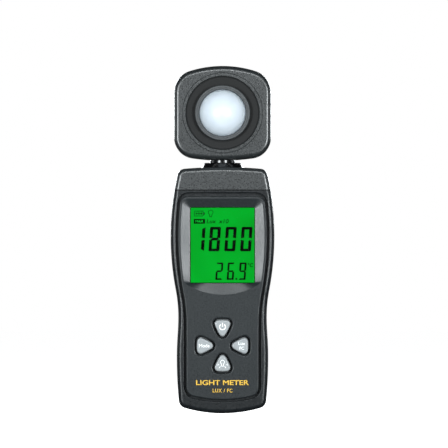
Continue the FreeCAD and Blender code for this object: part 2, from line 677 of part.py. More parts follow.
def make_controller_chip():
    body = box(-6, 6, BOARD_BACK_Y + 0.15, BOARD_BACK_Y + 1.65, 82, 94)
    legs = []
    for i in range(9):
        at = -4.4 + 1.1 * i
        legs.append(box(at - 0.2, at + 0.2, BOARD_BACK_Y, BOARD_BACK_Y + 0.5, 80.9, 95.1))
        legs.append(box(-7.1, 7.1, BOARD_BACK_Y, BOARD_BACK_Y + 0.5, 88 + at - 0.2, 88 + at + 0.2))
    return fuse([body, *legs])


def make_board_parts():
    """Capacitors, resistors and the crystal can, as separate solids."""
    parts = []
    for i in range(6):
        parts.append(box(-15 + 2.6 * i, -13.4 + 2.6 * i, BOARD_BACK_Y, BOARD_BACK_Y + 0.6, 72, 72.9))
        parts.append(box(10.5, 12.3, BOARD_BACK_Y, BOARD_BACK_Y + 0.8, 80 + 2.4 * i, 81 + 2.4 * i))
    parts.append(rod_y(-12.5, 88, 2.0, BOARD_BACK_Y, BOARD_BACK_Y + 2.2))
    parts.append(rod_y(-12.5, 94, 2.0, BOARD_BACK_Y, BOARD_BACK_Y + 2.2))
    can = box(3, 13, BOARD_BACK_Y, BOARD_BACK_Y + 2.0, 100, 104)
    parts.append(can.makeFillet(1.0, [e for e in can.Edges if e.BoundBox.YLength > 1]))
    return Part.makeCompound(parts)


def make_temperature_sensor():
    return Part.makeSphere(1.1, Vector(-15.4, BOARD_BACK_Y + 1.2, 110.5))


def make_keypad_mat():
    """Silicone mat on the board, with a raised skirt round each key's contact pill."""
    mat = box(-14.6, 14.6, BOARD_Y - 0.8, BOARD_Y, 21.5, 50.7)
    skirts, holes = [], []
    for x, z in key_centres():
        skirts.append(rod_y(x, z, 3.9, BOARD_Y - 2.1, BOARD_Y))
        holes.append(rod_y(x, z, 3.2, BOARD_Y - 3, BOARD_Y + 1))
    return cut(fuse([mat, *skirts]), holes)


def key_centres():
    centres = []
    for _, angle_deg in KEYS:
        angle = math.radians(angle_deg)
        centres.append((KEY_CENTRE_R * math.cos(angle), KEY_CROSS_Z + KEY_CENTRE_R * math.sin(angle)))
    return centres


def make_key(angle_deg, centre):
    """A key's cap with its crowned edge, the flange that keeps it in, and the stem above its pill."""
    flange_y = POCKET_FLOOR_Y + POCKET_FLOOR_T + 0.1
    cap = key_block(angle_deg, 0.0, KEY_TOP_Y, flange_y + 0.5)
    cap = cap.makeFillet(KEY_EDGE_R, edges_at_y(cap, KEY_TOP_Y))
    flange = key_block(angle_deg, KEY_FLANGE, flange_y, flange_y + 0.8)
    stem = rod_y(centre[0], centre[1], 2.6, flange_y, PILL_Y)
    return fuse([cap, flange, stem])


def make_pill(centre):
    return rod_y(centre[0], centre[1], PILL_R, PILL_Y, PILL_Y + PILL_T)


def screw(x, z, head_y, head_r, head_t, shank_r, tip_y):
    """A pan-head screw that enters towards -Y, with a cross recess."""
    head = rod_y(x, z, head_r, head_y - head_t, head_y)
    head = head.makeFillet(head_t * 0.45, [e for e in head.Edges if e.BoundBox.YMin > head_y - 0.01])
    shank = rod_y(x, z, shank_r, tip_y, head_y - head_t)
    blade = head_r * 0.55
    slot_y = head_y - head_t * 0.5
    slots = [
        box(x - blade, x + blade, slot_y, head_y + 1, z - 0.22, z + 0.22),
        box(x - 0.22, x + 0.22, slot_y, head_y + 1, z - blade, z + blade),
    ]
    return cut(fuse([head, shank]), slots)


def make_case_screws():
    return Part.makeCompound(
        [screw(x, z, CASE_WELL_FLOOR_Y + 1.6, 2.2, 1.6, 1.0, -5.5) for x, z in CASE_SCREWS]
    )


def make_board_screws():
    return Part.makeCompound([screw(x, z, BOARD_BACK_Y + 1.1, 1.9, 1.1, 0.82, -7.2) for x, z in BOARD_SCREWS])


def cell_span(up):
    """Where the can starts and ends: the spring is at the flat end and the nub faces the plate."""
    if up > 0:
        return BAY_LOW_Z + SPRING_ROOM, BAY_LOW_Z + SPRING_ROOM + CELL_LENGTH
    return BAY_HIGH_Z - SPRING_ROOM - CELL_LENGTH, BAY_HIGH_Z - SPRING_ROOM


def make_cell(x, up):
    low, high = cell_span(up)
    can = rod_z(CELL_R, low, high, x, CELL_Y)
    can = can.makeFillet(0.5, [e for e in can.Edges if e.BoundBox.ZLength < 1e-3])
    nub_low, nub_high = (high, high + 1.1) if up > 0 else (low - 1.1, low)
    return fuse([can, rod_z(1.9, nub_low, nub_high, x, CELL_Y)])


def make_battery_springs():
    """Coil springs at the flat ends of the cells."""
    springs = []
    for x, up in zip(CELL_XS, CELL_UPS):
        low, high = cell_span(up)
        z0, z1 = (BAY_LOW_Z + PLATE_T + 0.3, low - 0.3) if up > 0 else (high + 0.3, BAY_HIGH_Z - PLATE_T - 0.3)
        helix = Part.makeLongHelix((z1 - z0) / SPRING_TURNS, z1 - z0, SPRING_R)
        section = Part.Wire(Part.makeCircle(SPRING_WIRE_R, Vector(SPRING_R, 0, 0), Vector(0, 1, 0)))
        coil = Part.Wire(helix).makePipeShell([section], True, False)
        coil.translate(Vector(x, CELL_Y, z0))
        springs.append(coil)
    return Part.makeCompound(springs)


def terminal_slot(x, z):
    return box(x - 1.3, x + 1.3, BAY_FLOOR_Y - BAY_WALL - 1, BAY_FLOOR_Y + 1, z - 0.05, z + PLATE_T + 0.05)


def make_battery_terminals():
    """A plate at each end of each cell, with a tail through the bay's floor towards the board."""
    plates = []
    for x, z in TERMINALS:
        plate = box(x - 4.3, x + 4.3, BAY_FLOOR_Y, 13.2, z, z + PLATE_T)
        tail = box(x - 1.2, x + 1.2, BAY_FLOOR_Y - BAY_WALL - 1.6, BAY_FLOOR_Y + 0.1, z, z + PLATE_T)
        plates.append(fuse([plate, tail]))
    return Part.makeCompound(plates)


def tube_along(points, r):
    """A round lead along straight runs joined by tangent arcs, each as large as its two runs allow."""
    edges = []
    at = points[0]
    for i in range(1, len(points) - 1):
        before, corner, after = points[i - 1], points[i], points[i + 1]
        run_in, run_out = corner - before, after - corner
        turn = run_in.getAngle(run_out)
        reach = 0.45 * min(run_in.Length, run_out.Length)
        radius = reach / math.tan(turn / 2)
        into, out = Vector(run_in).normalize(), Vector(run_out).normalize()
        start, end = corner - into * reach, corner + out * reach
        bisector = (out - into).normalize()
        centre = corner + bisector * (radius / math.cos(turn / 2))
        edges.append(line(at, start))
        edges.append(arc(start, centre - bisector * radius, end))
        at = end
    edges.append(line(at, points[-1]))
    path = Part.Wire(edges)
    direction = Vector(points[1] - points[0])
    section = Part.Wire(Part.makeCircle(r, points[0], direction))
    return path.makePipeShell([section], True, False)


def make_lead_lower():
    """From the swivel's axis down to the plug on the main board."""
    points = [
        Vector(0, AXIS_Y, LEAD_MEET_Z),
        Vector(0, AXIS_Y, 116.6),
        Vector(0, BOARD_BACK_Y + 1.9, 112.6),
        Vector(0, BOARD_BACK_Y + 1.9, LEAD_PLUG_Z + 0.4),
    ]
    return tube_along(points, LEAD_R)


def make_lead_upper():
    """From the sensor board's plug straight down through the hollow shaft."""
    return rod_z(LEAD_R, LEAD_MEET_Z, 147.0)


def make_board_socket():
    return box(-3.2, 3.2, BOARD_BACK_Y, BOARD_BACK_Y + 3.6, LEAD_PLUG_Z - 3.4, LEAD_PLUG_Z + 0.4)


def make_sensor_plug():
    """The plug that straddles the sensor board's lower edge."""
    return box(-3.5, 3.5, 0.0, 3.8, 147.0, 151.2)


# ---- swivel ----------------------------------------------------------------------------------------------


def make_swivel_shaft():
    """The hollow neck: a grooved collar, a shaft in the bore with the stop tab, and a square foot in the head."""
    shaft = rod_z(SHAFT_R, SHAFT_FOOT_Z, 136.0)
    neck = rod_z(NECK_R, COLLAR_TOP_Z + RUNNING_GAP, 137.3)
    groove = cut(rod_z(NECK_R + 1, 134.55, 134.95), [rod_z(NECK_R - 0.55, 134, 136)])
    foot = box(-7.8, 7.8, AXIS_Y - 7.8, AXIS_Y + 7.8, 137.1, 139.4)
    foot = foot.makeFillet(2.0, [e for e in foot.Edges if e.BoundBox.ZLength > 1])
    tab = sector(STOP_TAB_DEG, 90.0, STOP_TAB_R, STOP_LOW_Z + 0.25, STOP_HIGH_Z - 0.25)
    shaft = fuse([shaft, neck, foot, tab])
    clip_groove = cut(rod_z(SHAFT_R + 1, 121.9, 122.65), [rod_z(SHAFT_R - 0.7, 121, 124)])
    return cut(shaft, [rod_z(SHAFT_BORE_R, SHAFT_FOOT_Z - 1, 150), groove, clip_groove])


def make_friction_ring():
    return Part.makeTorus(6.2, 0.55, Vector(0, AXIS_Y, COLLAR_TOP_Z - 0.6), Vector(0, 0, 1))


def washer(outer, z0, z1):
    return cut(rod_z(outer, z0, z1), [rod_z(SHAFT_R + 0.12, z0 - 1, z1 + 1)])


def make_thrust_washer():
    return washer(10.2, STOP_LOW_Z - 0.75, STOP_LOW_Z - 0.02)


def make_spring_washer():
    """A coned washer that draws the shaft down on to the collar."""
    low, high = 122.64, STOP_LOW_Z - 0.78
    profile = [(5.7, low), (8.6, high - 0.35), (8.6, high), (5.7, low + 0.35), (5.7, low)]
    wire = Part.makePolygon([Vector(x, AXIS_Y, z) for x, z in profile])
    return Part.Face(wire).revolve(Vector(0, AXIS_Y, 0), Vector(0, 0, 1), 360)


def make_shaft_clip():
    ring = cut(rod_z(8.0, 122.0, 122.6), [rod_z(SHAFT_R - 0.6, 121, 124)])
    return cut(ring, [box(-2.4, 2.4, AXIS_Y - 12, AXIS_Y, 121, 124)])


# ---- sensor head -----------------------------------------------------------------------------------------


def make_head_shells():
    """The two halves of the head, open inside, with screw posts and a seat for the shaft's square foot."""
    body = head_block(0.0, HEAD_FRONT_Y, HEAD_BACK_Y)
    body = body.makeFillet(HEAD_FRONT_EDGE_R, edges_at_y(body, HEAD_FRONT_Y))
    body = body.makeFillet(HEAD_BACK_EDGE_R, edges_at_y(body, HEAD_BACK_Y))
    inside = head_block(-HEAD_WALL, HEAD_FRONT_Y + 3.6, HEAD_BACK_Y - HEAD_WALL)
    inside = inside.makeFillet(HEAD_BACK_EDGE_R - HEAD_WALL, edges_at_y(inside, HEAD_BACK_Y - HEAD_WALL))
    posts = [rod_y(x, z, 3.1, HEAD_FRONT_Y + 3, HEAD_BACK_Y - 1) for x, z in HEAD_SCREWS]
    props = [rod_y(x, z, 1.3, 1.3, HEAD_BACK_Y - 1) for x, z in BOARD_PROPS]
    seat = box(-9.2, 9.2, AXIS_Y - 9.2, AXIS_Y + 9.2, 135.0, 140.8).common(body)
    bead = dish_bead()
    tube = cut(eye_disc(15.9, HEAD_FRONT_Y + 3, -2.0), [eye_disc(14.2, -20, 5)])
    whole = fuse([cut(body, [inside]), *posts, *props, seat, tube, bead])
    tools = [
        box(-7.9, 7.9, AXIS_Y - 7.9, AXIS_Y + 7.9, 137.0, 139.5),
        rod_z(NECK_R + 0.08, 130, 138),
        rod_z(4.2, 138, 141.5),
        eye_disc(14.1, -20, HEAD_FRONT_Y + 5),
        dish_cut(),
        part_groove(head_block, AXIS_Y),
    ]
    whole = cut(whole, tools)
    front = whole.common(box(-60, 60, -60, AXIS_Y - 0.04, 100, 200))
    rear = whole.common(box(-60, 60, AXIS_Y + 0.04, 60, 100, 200))
    rear = fuse([rear, *[rod_y(x, z, 1.3, 1.3, AXIS_Y + 1) for x, z in BOARD_PROPS]])
    front = cut(front, [rod_y(x, z, 0.95, -3.0, 5) for x, z in HEAD_SCREWS])
    front = max(front.Solids, key=lambda solid: solid.Volume)
    wells = [rod_y(x, z, 2.3, HEAD_BACK_Y - 4.6, 40) for x, z in HEAD_SCREWS]
    shanks = [rod_y(x, z, 1.3, 0, 40) for x, z in HEAD_SCREWS]
    return front, cut(rear, [*wells, *shanks])


def turned(profile):
    """A profile of (radius, y) points turned about the sensor's optical axis."""
    points = [Vector(0, y, EYE_Z + r) for r, y in profile]
    wire = Part.makePolygon([*points, points[0]])
    return Part.Face(wire).revolve(Vector(0, 0, EYE_Z), Vector(0, 1, 0), 360)


def dish_bead():
    """The raised bead round the dish."""
    y = HEAD_FRONT_Y
    top = y - BEAD_RISE
    inner, outer = BEAD_INNER_R, BEAD_OUTER_R
    return turned([(inner, y + 0.5), (outer, y + 0.5), (outer, y), (outer - 0.3, top), (inner, top)])


def dish_cut():
    """The round dish inside the bead: a steep lip, then a shallow cone down to the ring's seat."""
    y = HEAD_FRONT_Y
    lip = BEAD_INNER_R
    cone = [(DISH_EDGE_R, y + 1.1), (DISH_INNER_R, y + 2.3), (0, y + 2.3)]
    return turned([(0, y - 2), (lip + 0.4, y - 2), (lip + 0.2, y - BEAD_RISE), (lip, y), *cone])


def make_dome_ring():
    """The raised ring round the dome, with a stepped top and a sleeve pressed into the cover."""
    y = HEAD_FRONT_Y
    bore = RING_BORE_R
    sleeve = [(13.5, y + 4.9), (14.05, y + 4.9), (14.05, y + 2.3), (RING_R, y + 2.3)]
    top = [(RING_R, y - 0.7), (RING_R - 0.35, y - 1.1), (RING_R - 1.2, y - 1.1), (RING_R - 1.35, y - 0.8)]
    inside = [(bore + 0.6, y - 0.8), (bore + 0.1, y - 0.3), (bore + 0.1, y + 0.9), (13.5, y + 0.9)]
    return turned([*sleeve, *top, *inside])


def make_diffuser_dome():
    """A hollow translucent dome with a flange held under the ring."""
    base_y = HEAD_FRONT_Y + 1.0
    rise = base_y - DOME_TIP_Y
    outer_r = (RING_BORE_R**2 + rise**2) / (2 * rise)
    centre_y = DOME_TIP_Y + outer_r
    keep = box(-20, 20, -40, base_y, EYE_Z - 20, EYE_Z + 20)
    outer = Part.makeSphere(outer_r, Vector(0, centre_y, EYE_Z)).common(keep)
    flange = eye_disc(DOME_FLANGE_R, base_y, base_y + DOME_FLANGE_T)
    dome = fuse([outer, flange])
    inner = Part.makeSphere(outer_r - DOME_T, Vector(0, centre_y, EYE_Z))
    keep_inner = box(-20, 20, -40, base_y + DOME_FLANGE_T + 1, EYE_Z - 20, EYE_Z + 20)
    hollow = inner.common(keep_inner)
    mouth = eye_disc(9.5, base_y - 1, base_y + 5)
    return cut(dome, [hollow, mouth])


def make_sensor_cup():
    """The opaque cup behind the dome that holds the filter over the photodiode."""
    y0 = HEAD_FRONT_Y + 1.0 + DOME_FLANGE_T + 0.05
    cup = eye_disc(13.3, y0, 0.0)
    return cut(cup, [eye_disc(8.6, y0 - 1, -3.4), box(-6.1, 6.1, -8, 5, EYE_Z - 6.1, EYE_Z + 6.1)])


def make_correction_filter():
    return eye_disc(8.5, -5.4, -3.45)


def make_photodiode():
    chip = box(-5.9, 5.9, -2.6, 0.0, EYE_Z - 5.9, EYE_Z + 5.9)
    window = box(-4.5, 4.5, -2.7, -2.35, EYE_Z - 4.5, EYE_Z + 4.5)
    return cut(chip, [window])


def make_sensor_board():
    board = box(-12.5, 12.5, 0.05, 1.25, EYE_Z - 12.5, EYE_Z + 12.5)
    board = board.makeFillet(1.5, [e for e in board.Edges if e.BoundBox.YLength > 1])
    notch = box(-3.6, 3.6, -1, 3, EYE_Z - 13, EYE_Z - 8.6)
    return cut(board, [notch])


def make_head_screws():
    return Part.makeCompound([screw(x, z, HEAD_BACK_Y - 3.0, 2.05, 1.6, 0.9, -2.2) for x, z in HEAD_SCREWS])


# ---- everything ------------------------------------------------------------------------------------------


def main():
    body = casing_body()
    export("front_cover", make_front_cover(body))
    export("rear_cover", make_rear_cover(body))
    export("shoulder_cap", make_shoulder_cap(body))
    export("neck_collar", make_neck_collar())
    export("battery_door", make_battery_door(body))
    export("door_liner", make_door_liner())
    export("rating_label", make_rating_label())
    export("face_panel", make_face_panel())
    export("display_window", make_display_window())
    export("display_glass", make_display_glass())
    export("backlight", make_backlight())
    export("display_frame", make_display_frame())
    export("contact_strips", make_contact_strips())
    export("main_board", make_main_board())
    export("controller_chip", make_controller_chip())
    export("board_parts", make_board_parts())
    export("temperature_sensor", make_temperature_sensor())
    export("keypad_mat", make_keypad_mat())
    for (name, angle), centre in zip(KEYS, key_centres()):
        export(name, make_key(angle, centre))
        export(name.replace("key", "pill"), make_pill(centre))
    export("case_screws", make_case_screws())
    export("board_screws", make_board_screws())
    for name, x, up in zip(("cell_left", "cell_middle", "cell_right"), CELL_XS, CELL_UPS):
        export(name, make_cell(x, up))
    export("battery_springs", make_battery_springs())
    export("battery_terminals", make_battery_terminals())
    export("lead_lower", make_lead_lower())
    export("lead_upper", make_lead_upper())
    export("board_socket", make_board_socket())
    export("sensor_plug", make_sensor_plug())
    export("swivel_shaft", make_swivel_shaft())
    export("friction_ring", make_friction_ring())
    export("thrust_washer", make_thrust_washer())
    export("spring_washer", make_spring_washer())
    export("shaft_clip", make_shaft_clip())
    front, rear = make_head_shells()
    export("head_front_cover", front)
    export("head_rear_cover", rear)
    export("dome_ring", make_dome_ring())
    export("diffuser_dome", make_diffuser_dome())
    export("sensor_cup", make_sensor_cup())
    export("correction_filter", make_correction_filter())
    export("photodiode", make_photodiode())
    export("sensor_board", make_sensor_board())
    export("head_screws", make_head_screws())


main()
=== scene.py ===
"""Looks of the handheld light meter: finishes, the lit display, printed legends and the studio.

Lengths are metres. MM turns millimetres into metres. The meter stands along +Z with its face towards -Y.
"""

import json
import math

import bmesh
import bpy
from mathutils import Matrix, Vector

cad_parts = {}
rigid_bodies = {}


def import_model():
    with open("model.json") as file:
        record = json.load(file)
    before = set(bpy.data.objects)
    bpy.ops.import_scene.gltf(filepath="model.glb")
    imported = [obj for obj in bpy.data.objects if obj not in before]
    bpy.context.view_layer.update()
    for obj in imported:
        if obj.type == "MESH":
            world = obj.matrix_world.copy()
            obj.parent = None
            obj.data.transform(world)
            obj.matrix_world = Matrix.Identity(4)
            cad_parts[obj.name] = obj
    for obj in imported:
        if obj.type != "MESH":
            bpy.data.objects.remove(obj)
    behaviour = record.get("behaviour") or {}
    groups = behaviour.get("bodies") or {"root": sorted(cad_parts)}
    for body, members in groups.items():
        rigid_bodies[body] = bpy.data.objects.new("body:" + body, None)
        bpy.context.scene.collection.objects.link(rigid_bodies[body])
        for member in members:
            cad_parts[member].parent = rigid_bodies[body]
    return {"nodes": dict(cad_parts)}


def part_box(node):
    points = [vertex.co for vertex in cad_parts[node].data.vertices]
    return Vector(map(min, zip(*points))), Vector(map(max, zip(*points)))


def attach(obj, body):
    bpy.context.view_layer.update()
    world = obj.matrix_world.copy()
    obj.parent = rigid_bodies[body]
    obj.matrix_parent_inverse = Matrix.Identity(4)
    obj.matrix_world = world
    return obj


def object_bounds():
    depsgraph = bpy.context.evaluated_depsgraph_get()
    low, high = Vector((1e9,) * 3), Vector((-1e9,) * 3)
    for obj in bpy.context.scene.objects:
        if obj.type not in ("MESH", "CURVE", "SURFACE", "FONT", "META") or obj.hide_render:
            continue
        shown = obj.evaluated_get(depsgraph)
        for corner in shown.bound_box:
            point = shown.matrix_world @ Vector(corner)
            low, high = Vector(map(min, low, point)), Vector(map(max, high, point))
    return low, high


for leftover in list(bpy.data.objects):
    bpy.data.objects.remove(leftover)

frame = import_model()
cad_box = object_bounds()
nodes = frame["nodes"]

MM = 0.001
LOW, HIGH = cad_box
HEIGHT = HIGH.z - LOW.z
MIDDLE_X, MIDDLE_Z = (LOW.x + HIGH.x) / 2, (LOW.z + HIGH.z) / 2
FACE_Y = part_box("face_panel")[0].y
KEY_NAMES = ("power_key", "mode_key", "unit_key", "backlight_key")
HOUSING = "housing"


# ---- colour and shader helpers ----

# Noise mostly lies between these values.
NOISE_LOW, NOISE_HIGH = 0.3, 0.7


def srgb(r, g, b):
    """A colour, 0 to 255, as linear values by the sRGB curve."""
    values = []
    for c in (r, g, b):
        c /= 255
        values.append(c / 12.92 if c <= 0.04045 else ((c + 0.055) / 1.055) ** 2.4)
    return (*values, 1.0)


def scaled(colour, factor):
    return (*(min(1.0, c * factor) for c in colour[:3]), 1.0)


def new_material(name):
    material = bpy.data.materials.new(name)
    material.use_nodes = True
    tree = material.node_tree
    shader = tree.nodes["Principled BSDF"]
    return material, tree, shader


def set_inputs(shader, values):
    for socket, value in values.items():
        shader.inputs[socket].default_value = value


def object_noise(tree, size, detail=2.0, roughness=0.5):
    """Noise in the object's own coordinates, with features of about the given size."""
    place = tree.nodes.new("ShaderNodeTexCoord")
    noise = tree.nodes.new("ShaderNodeTexNoise")
    set_inputs(noise, {"Scale": 1 / size, "Detail": detail, "Roughness": roughness})
    tree.links.new(place.outputs["Object"], noise.inputs["Vector"])
    return noise.outputs["Fac"]


def ramp(tree, source, colour_low, colour_high, low=NOISE_LOW, high=NOISE_HIGH):
    """A colour that goes from colour_low to colour_high as source goes from low to high."""
    node = tree.nodes.new("ShaderNodeValToRGB")
    node.color_ramp.elements[0].position = low
    node.color_ramp.elements[0].color = colour_low
    node.color_ramp.elements[1].position = high
    node.color_ramp.elements[1].color = colour_high
    tree.links.new(source, node.inputs["Fac"])
    return node.outputs["Color"]


def mapped(tree, source, from_low, from_high, to_low, to_high):
    node = tree.nodes.new("ShaderNodeMapRange")
    set_inputs(node, {"From Min": from_low, "From Max": from_high, "To Min": to_low, "To Max": to_high})
    tree.links.new(source, node.inputs["Value"])
    return node.outputs["Result"]


def span(tree, noise, low, high):
    return mapped(tree, noise, NOISE_LOW, NOISE_HIGH, low, high)


def masked(tree, mask, where_zero, where_one):
    """where_zero, a number, gives way to where_one, a varying value, as the mask goes from 0 to 1."""
    node = tree.nodes.new("ShaderNodeMapRange")
    node.inputs["To Min"].default_value = where_zero
    tree.links.new(mask, node.inputs["Value"])
    tree.links.new(where_one, node.inputs["To Max"])
    return node.outputs["Result"]


def math_node(tree, operation, *sources):
    node = tree.nodes.new("ShaderNodeMath")
    node.operation = operation
    for i, source in enumerate(sources):
        tree.links.new(source, node.inputs[i])
    return node.outputs["Value"]


# How squarely a surface faces the front or the back where it starts to count as flat, and where it is flat.
FLAT_FROM, FLAT_FULL = 0.94, 0.99
DISH_R = 19.2 * MM
DISH_BLEND = 0.4 * MM


def flatness(tree):
    """1 on surfaces that face the front or the back, 0 where an edge has rounded away from them."""
    place = tree.nodes.new("ShaderNodeTexCoord")
    split = tree.nodes.new("ShaderNodeSeparateXYZ")
    tree.links.new(place.outputs["Normal"], split.inputs["Vector"])
    return mapped(tree, math_node(tree, "ABSOLUTE", split.outputs["Y"]), FLAT_FROM, FLAT_FULL, 0.0, 1.0)


def outside_dish(tree):
    """1 outside the sensor's dish and 0 inside it, by distance from the optical axis."""
    low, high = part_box("diffuser_dome")
    place = tree.nodes.new("ShaderNodeTexCoord")
    centred = tree.nodes.new("ShaderNodeMapping")
    set_inputs(centred, {"Location": (0, 0, -(low.z + high.z) / 2), "Scale": (1, 0, 1)})
    length = tree.nodes.new("ShaderNodeVectorMath")
    length.operation = "LENGTH"
    tree.links.new(place.outputs["Object"], centred.inputs["Vector"])
    tree.links.new(centred.outputs["Vector"], length.inputs[0])
    return mapped(tree, length.outputs["Value"], DISH_R, DISH_R + DISH_BLEND, 0.0, 1.0)


# ---- kinds of material ----

GRAIN_DETAIL, GRAIN_ROUGHNESS = 3.0, 0.6
GRAIN_LOW, GRAIN_HIGH = 0.32, 0.68
GRAIN_DEPTH = 0.35  # the bump's height, as a share of the grain's size
SLOW_SIZE = 14 * MM
SLOW_SHARE = 0.05
RIM_BUMP = 0.04  # the bump left on a polished rim, as a share of the full bump
DISH_TONE = 0.15  # the dish's brightness, as a share of the face's
COAT_ROUGH = 0.12


def moulded(
    name,
    colour,
    rough,
    grain=0.4 * MM,
    bump=0.25,
    speckle=0.12,
    grit=0.04,
    coat=0.0,
    specular=0.5,
    rim=None,
    dish=None,
):
    """Moulded plastic: a grain that varies its tone by speckle and its roughness by grit, over slow changes.

    With rim, rounded edges are polished: rim is their roughness. With dish, that is the sensor dish's
    roughness, and the dish is darker too.
    """
    material, tree, shader = new_material(name)
    grain_noise = object_noise(tree, grain, GRAIN_DETAIL, GRAIN_ROUGHNESS)
    slow_noise = mapped(tree, object_noise(tree, SLOW_SIZE), 0, 1, -SLOW_SHARE, SLOW_SHARE)
    blend = math_node(tree, "ADD", grain_noise, slow_noise)
    tone = ramp(tree, blend, scaled(colour, 1 - speckle), scaled(colour, 1 + speckle), GRAIN_LOW, GRAIN_HIGH)
    gloss = span(tree, blend, rough - grit, rough + grit)
    relief = tree.nodes.new("ShaderNodeBump")
    set_inputs(relief, {"Strength": bump, "Distance": grain * GRAIN_DEPTH})
    tree.links.new(grain_noise, relief.inputs["Height"])
    tree.links.new(relief.outputs["Normal"], shader.inputs["Normal"])
    if rim is not None:
        flat = flatness(tree)
        gloss = masked(tree, flat, rim, gloss)
        tree.links.new(mapped(tree, flat, 0, 1, bump * RIM_BUMP, bump), relief.inputs["Strength"])
    if dish is not None:
        outside = outside_dish(tree)
        gloss = masked(tree, outside, dish, gloss)
        shaded = tree.nodes.new("ShaderNodeVectorMath")
        shaded.operation = "SCALE"
        tree.links.new(tone, shaded.inputs["Vector"])
        tree.links.new(mapped(tree, outside, 0, 1, DISH_TONE, 1.0), shaded.inputs["Scale"])
        tone = shaded.outputs["Vector"]
    tree.links.new(tone, shader.inputs["Base Color"])
    tree.links.new(gloss, shader.inputs["Roughness"])
    set_inputs(shader, {"Specular IOR Level": specular, "Coat Weight": coat, "Coat Roughness": COAT_ROUGH})
    return material


STREAK = 0.15 * MM
STREAK_STRETCH = 20
METAL_VARIATION = 0.06
METAL_SHADE = 0.85  # the darkest streak's tone, as a share of the colour


def metal(name, colour, rough):
    """Plated or turned metal with fine streaks along Z."""
    material, tree, shader = new_material(name)
    place = tree.nodes.new("ShaderNodeTexCoord")
    stretch = tree.nodes.new("ShaderNodeMapping")
    stretch.inputs["Scale"].default_value = (1 / STREAK, 1 / STREAK, 1 / (STREAK * STREAK_STRETCH))
    noise = tree.nodes.new("ShaderNodeTexNoise")
    noise.inputs["Scale"].default_value = 1.0
    tree.links.new(place.outputs["Object"], stretch.inputs["Vector"])
    tree.links.new(stretch.outputs["Vector"], noise.inputs["Vector"])
    streaks = noise.outputs["Fac"]
    gloss = span(tree, streaks, rough - METAL_VARIATION, rough + METAL_VARIATION)
    tree.links.new(ramp(tree, streaks, scaled(colour, METAL_SHADE), colour), shader.inputs["Base Color"])
    tree.links.new(gloss, shader.inputs["Roughness"])
    shader.inputs["Metallic"].default_value = 1.0
    return material


ACRYLIC_IOR = 1.49
HAZE_SIZE = 5 * MM
HAZE_VARIATION = 0.01


def clear(name, colour, rough):
    """Clear acrylic or glass, a little uneven in its polish."""
    material, tree, shader = new_material(name)
    set_inputs(shader, {"Base Color": colour, "Transmission Weight": 1.0, "IOR": ACRYLIC_IOR})
    haze = span(tree, object_noise(tree, HAZE_SIZE), rough, rough + HAZE_VARIATION)
    tree.links.new(haze, shader.inputs["Roughness"])
    return material


CLOUD_SIZE = 6 * MM
SCATTER_DEPTH = 6 * MM


def opal(name):
    """Milky acrylic: soft white that lets some light through, with a faint painted glow."""
    material, tree, shader = new_material(name)
    tint = ramp(tree, object_noise(tree, CLOUD_SIZE), srgb(190, 199, 209), srgb(195, 203, 212))
    tree.links.new(tint, shader.inputs["Base Color"])
    look = {
        "Roughness": 0.42,
        "Subsurface Weight": 0.9,
        "Subsurface Radius": (1.0, 1.0, 1.0),
        "Subsurface Scale": SCATTER_DEPTH,
        # The emission is a painted glow that brightens the dome as if it were lit from within.
        "Emission Color": srgb(222, 240, 250),
        "Emission Strength": 0.2,
        "Coat Weight": 0.35,
        "Coat Roughness": 0.3,
    }
    set_inputs(shader, look)
    return material


GLOW_SIZE = 22 * MM


def lit_display(name):
    """The backlit display: green that glows, slightly uneven over its area."""
    material, tree, shader = new_material(name)
    glow = object_noise(tree, GLOW_SIZE, 1.0)
    tree.links.new(ramp(tree, glow, srgb(0, 166, 34), srgb(0, 186, 44)), shader.inputs["Emission Color"])
    look = {
        "Base Color": srgb(0, 12, 3),
        "Specular IOR Level": 0.0,
        "Roughness": 0.6,
        "Emission Strength": 1.0,
    }
    set_inputs(shader, look)
    return material


def cell_jacket(name):
    """A printed cell: a dark jacket with a copper-coloured band, and bare ends."""
    material, tree, shader = new_material(name)
    low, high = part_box("cell_left")
    place = tree.nodes.new("ShaderNodeTexCoord")
    split = tree.nodes.new("ShaderNodeSeparateXYZ")
    bands = tree.nodes.new("ShaderNodeValToRGB")
    bands.color_ramp.interpolation = "CONSTANT"
    bare, jacket, copper = srgb(150, 150, 150), srgb(22, 52, 44), srgb(170, 120, 62)
    stops = ((0.0, bare), (0.02, jacket), (0.3, copper), (0.34, jacket), (0.96, bare))
    elements = bands.color_ramp.elements
    for i, (position, colour) in enumerate(stops):
        element = elements[i] if i < 2 else elements.new(position)
        element.position = position
        element.color = colour
    tree.links.new(place.outputs["Object"], split.inputs["Vector"])
    tree.links.new(mapped(tree, split.outputs["Z"], low.z, high.z, 0, 1), bands.inputs["Fac"])
    tree.links.new(bands.outputs["Color"], shader.inputs["Base Color"])
    set_inputs(shader, {"Roughness": 0.3, "Metallic": 0.4})
    return material


BLOTCH_SIZE = 0.8 * MM
INK_SHADE = 0.9  # the darkest blotch's tone, as a share of the colour


def ink(name, colour, rough=0.5, glow=0.0, specular=0.3):
    """Printing ink, slightly uneven in tone."""
    material, tree, shader = new_material(name)
    blotch = object_noise(tree, BLOTCH_SIZE)
    tree.links.new(ramp(tree, blotch, scaled(colour, INK_SHADE), colour), shader.inputs["Base Color"])
    set_inputs(shader, {"Roughness": rough, "Specular IOR Level": specular})
    if glow:
        set_inputs(shader, {"Emission Color": colour, "Emission Strength": glow})
    return material


# ---- finishes ----

CASING_LOOK = {"rough": 0.34, "grain": 0.8 * MM, "bump": 0.25, "speckle": 0.25, "grit": 0.08, "rim": 0.27}
PANEL_LOOK = {"rough": 0.35, "grain": 0.8 * MM, "bump": 0.15, "speckle": 0.25, "grit": 0.08, "rim": 0.28}
TOP_LOOK = {"rough": 0.32, "grain": 0.7 * MM, "bump": 0.1, "speckle": 0.35, "grit": 0.08, "rim": 0.3}

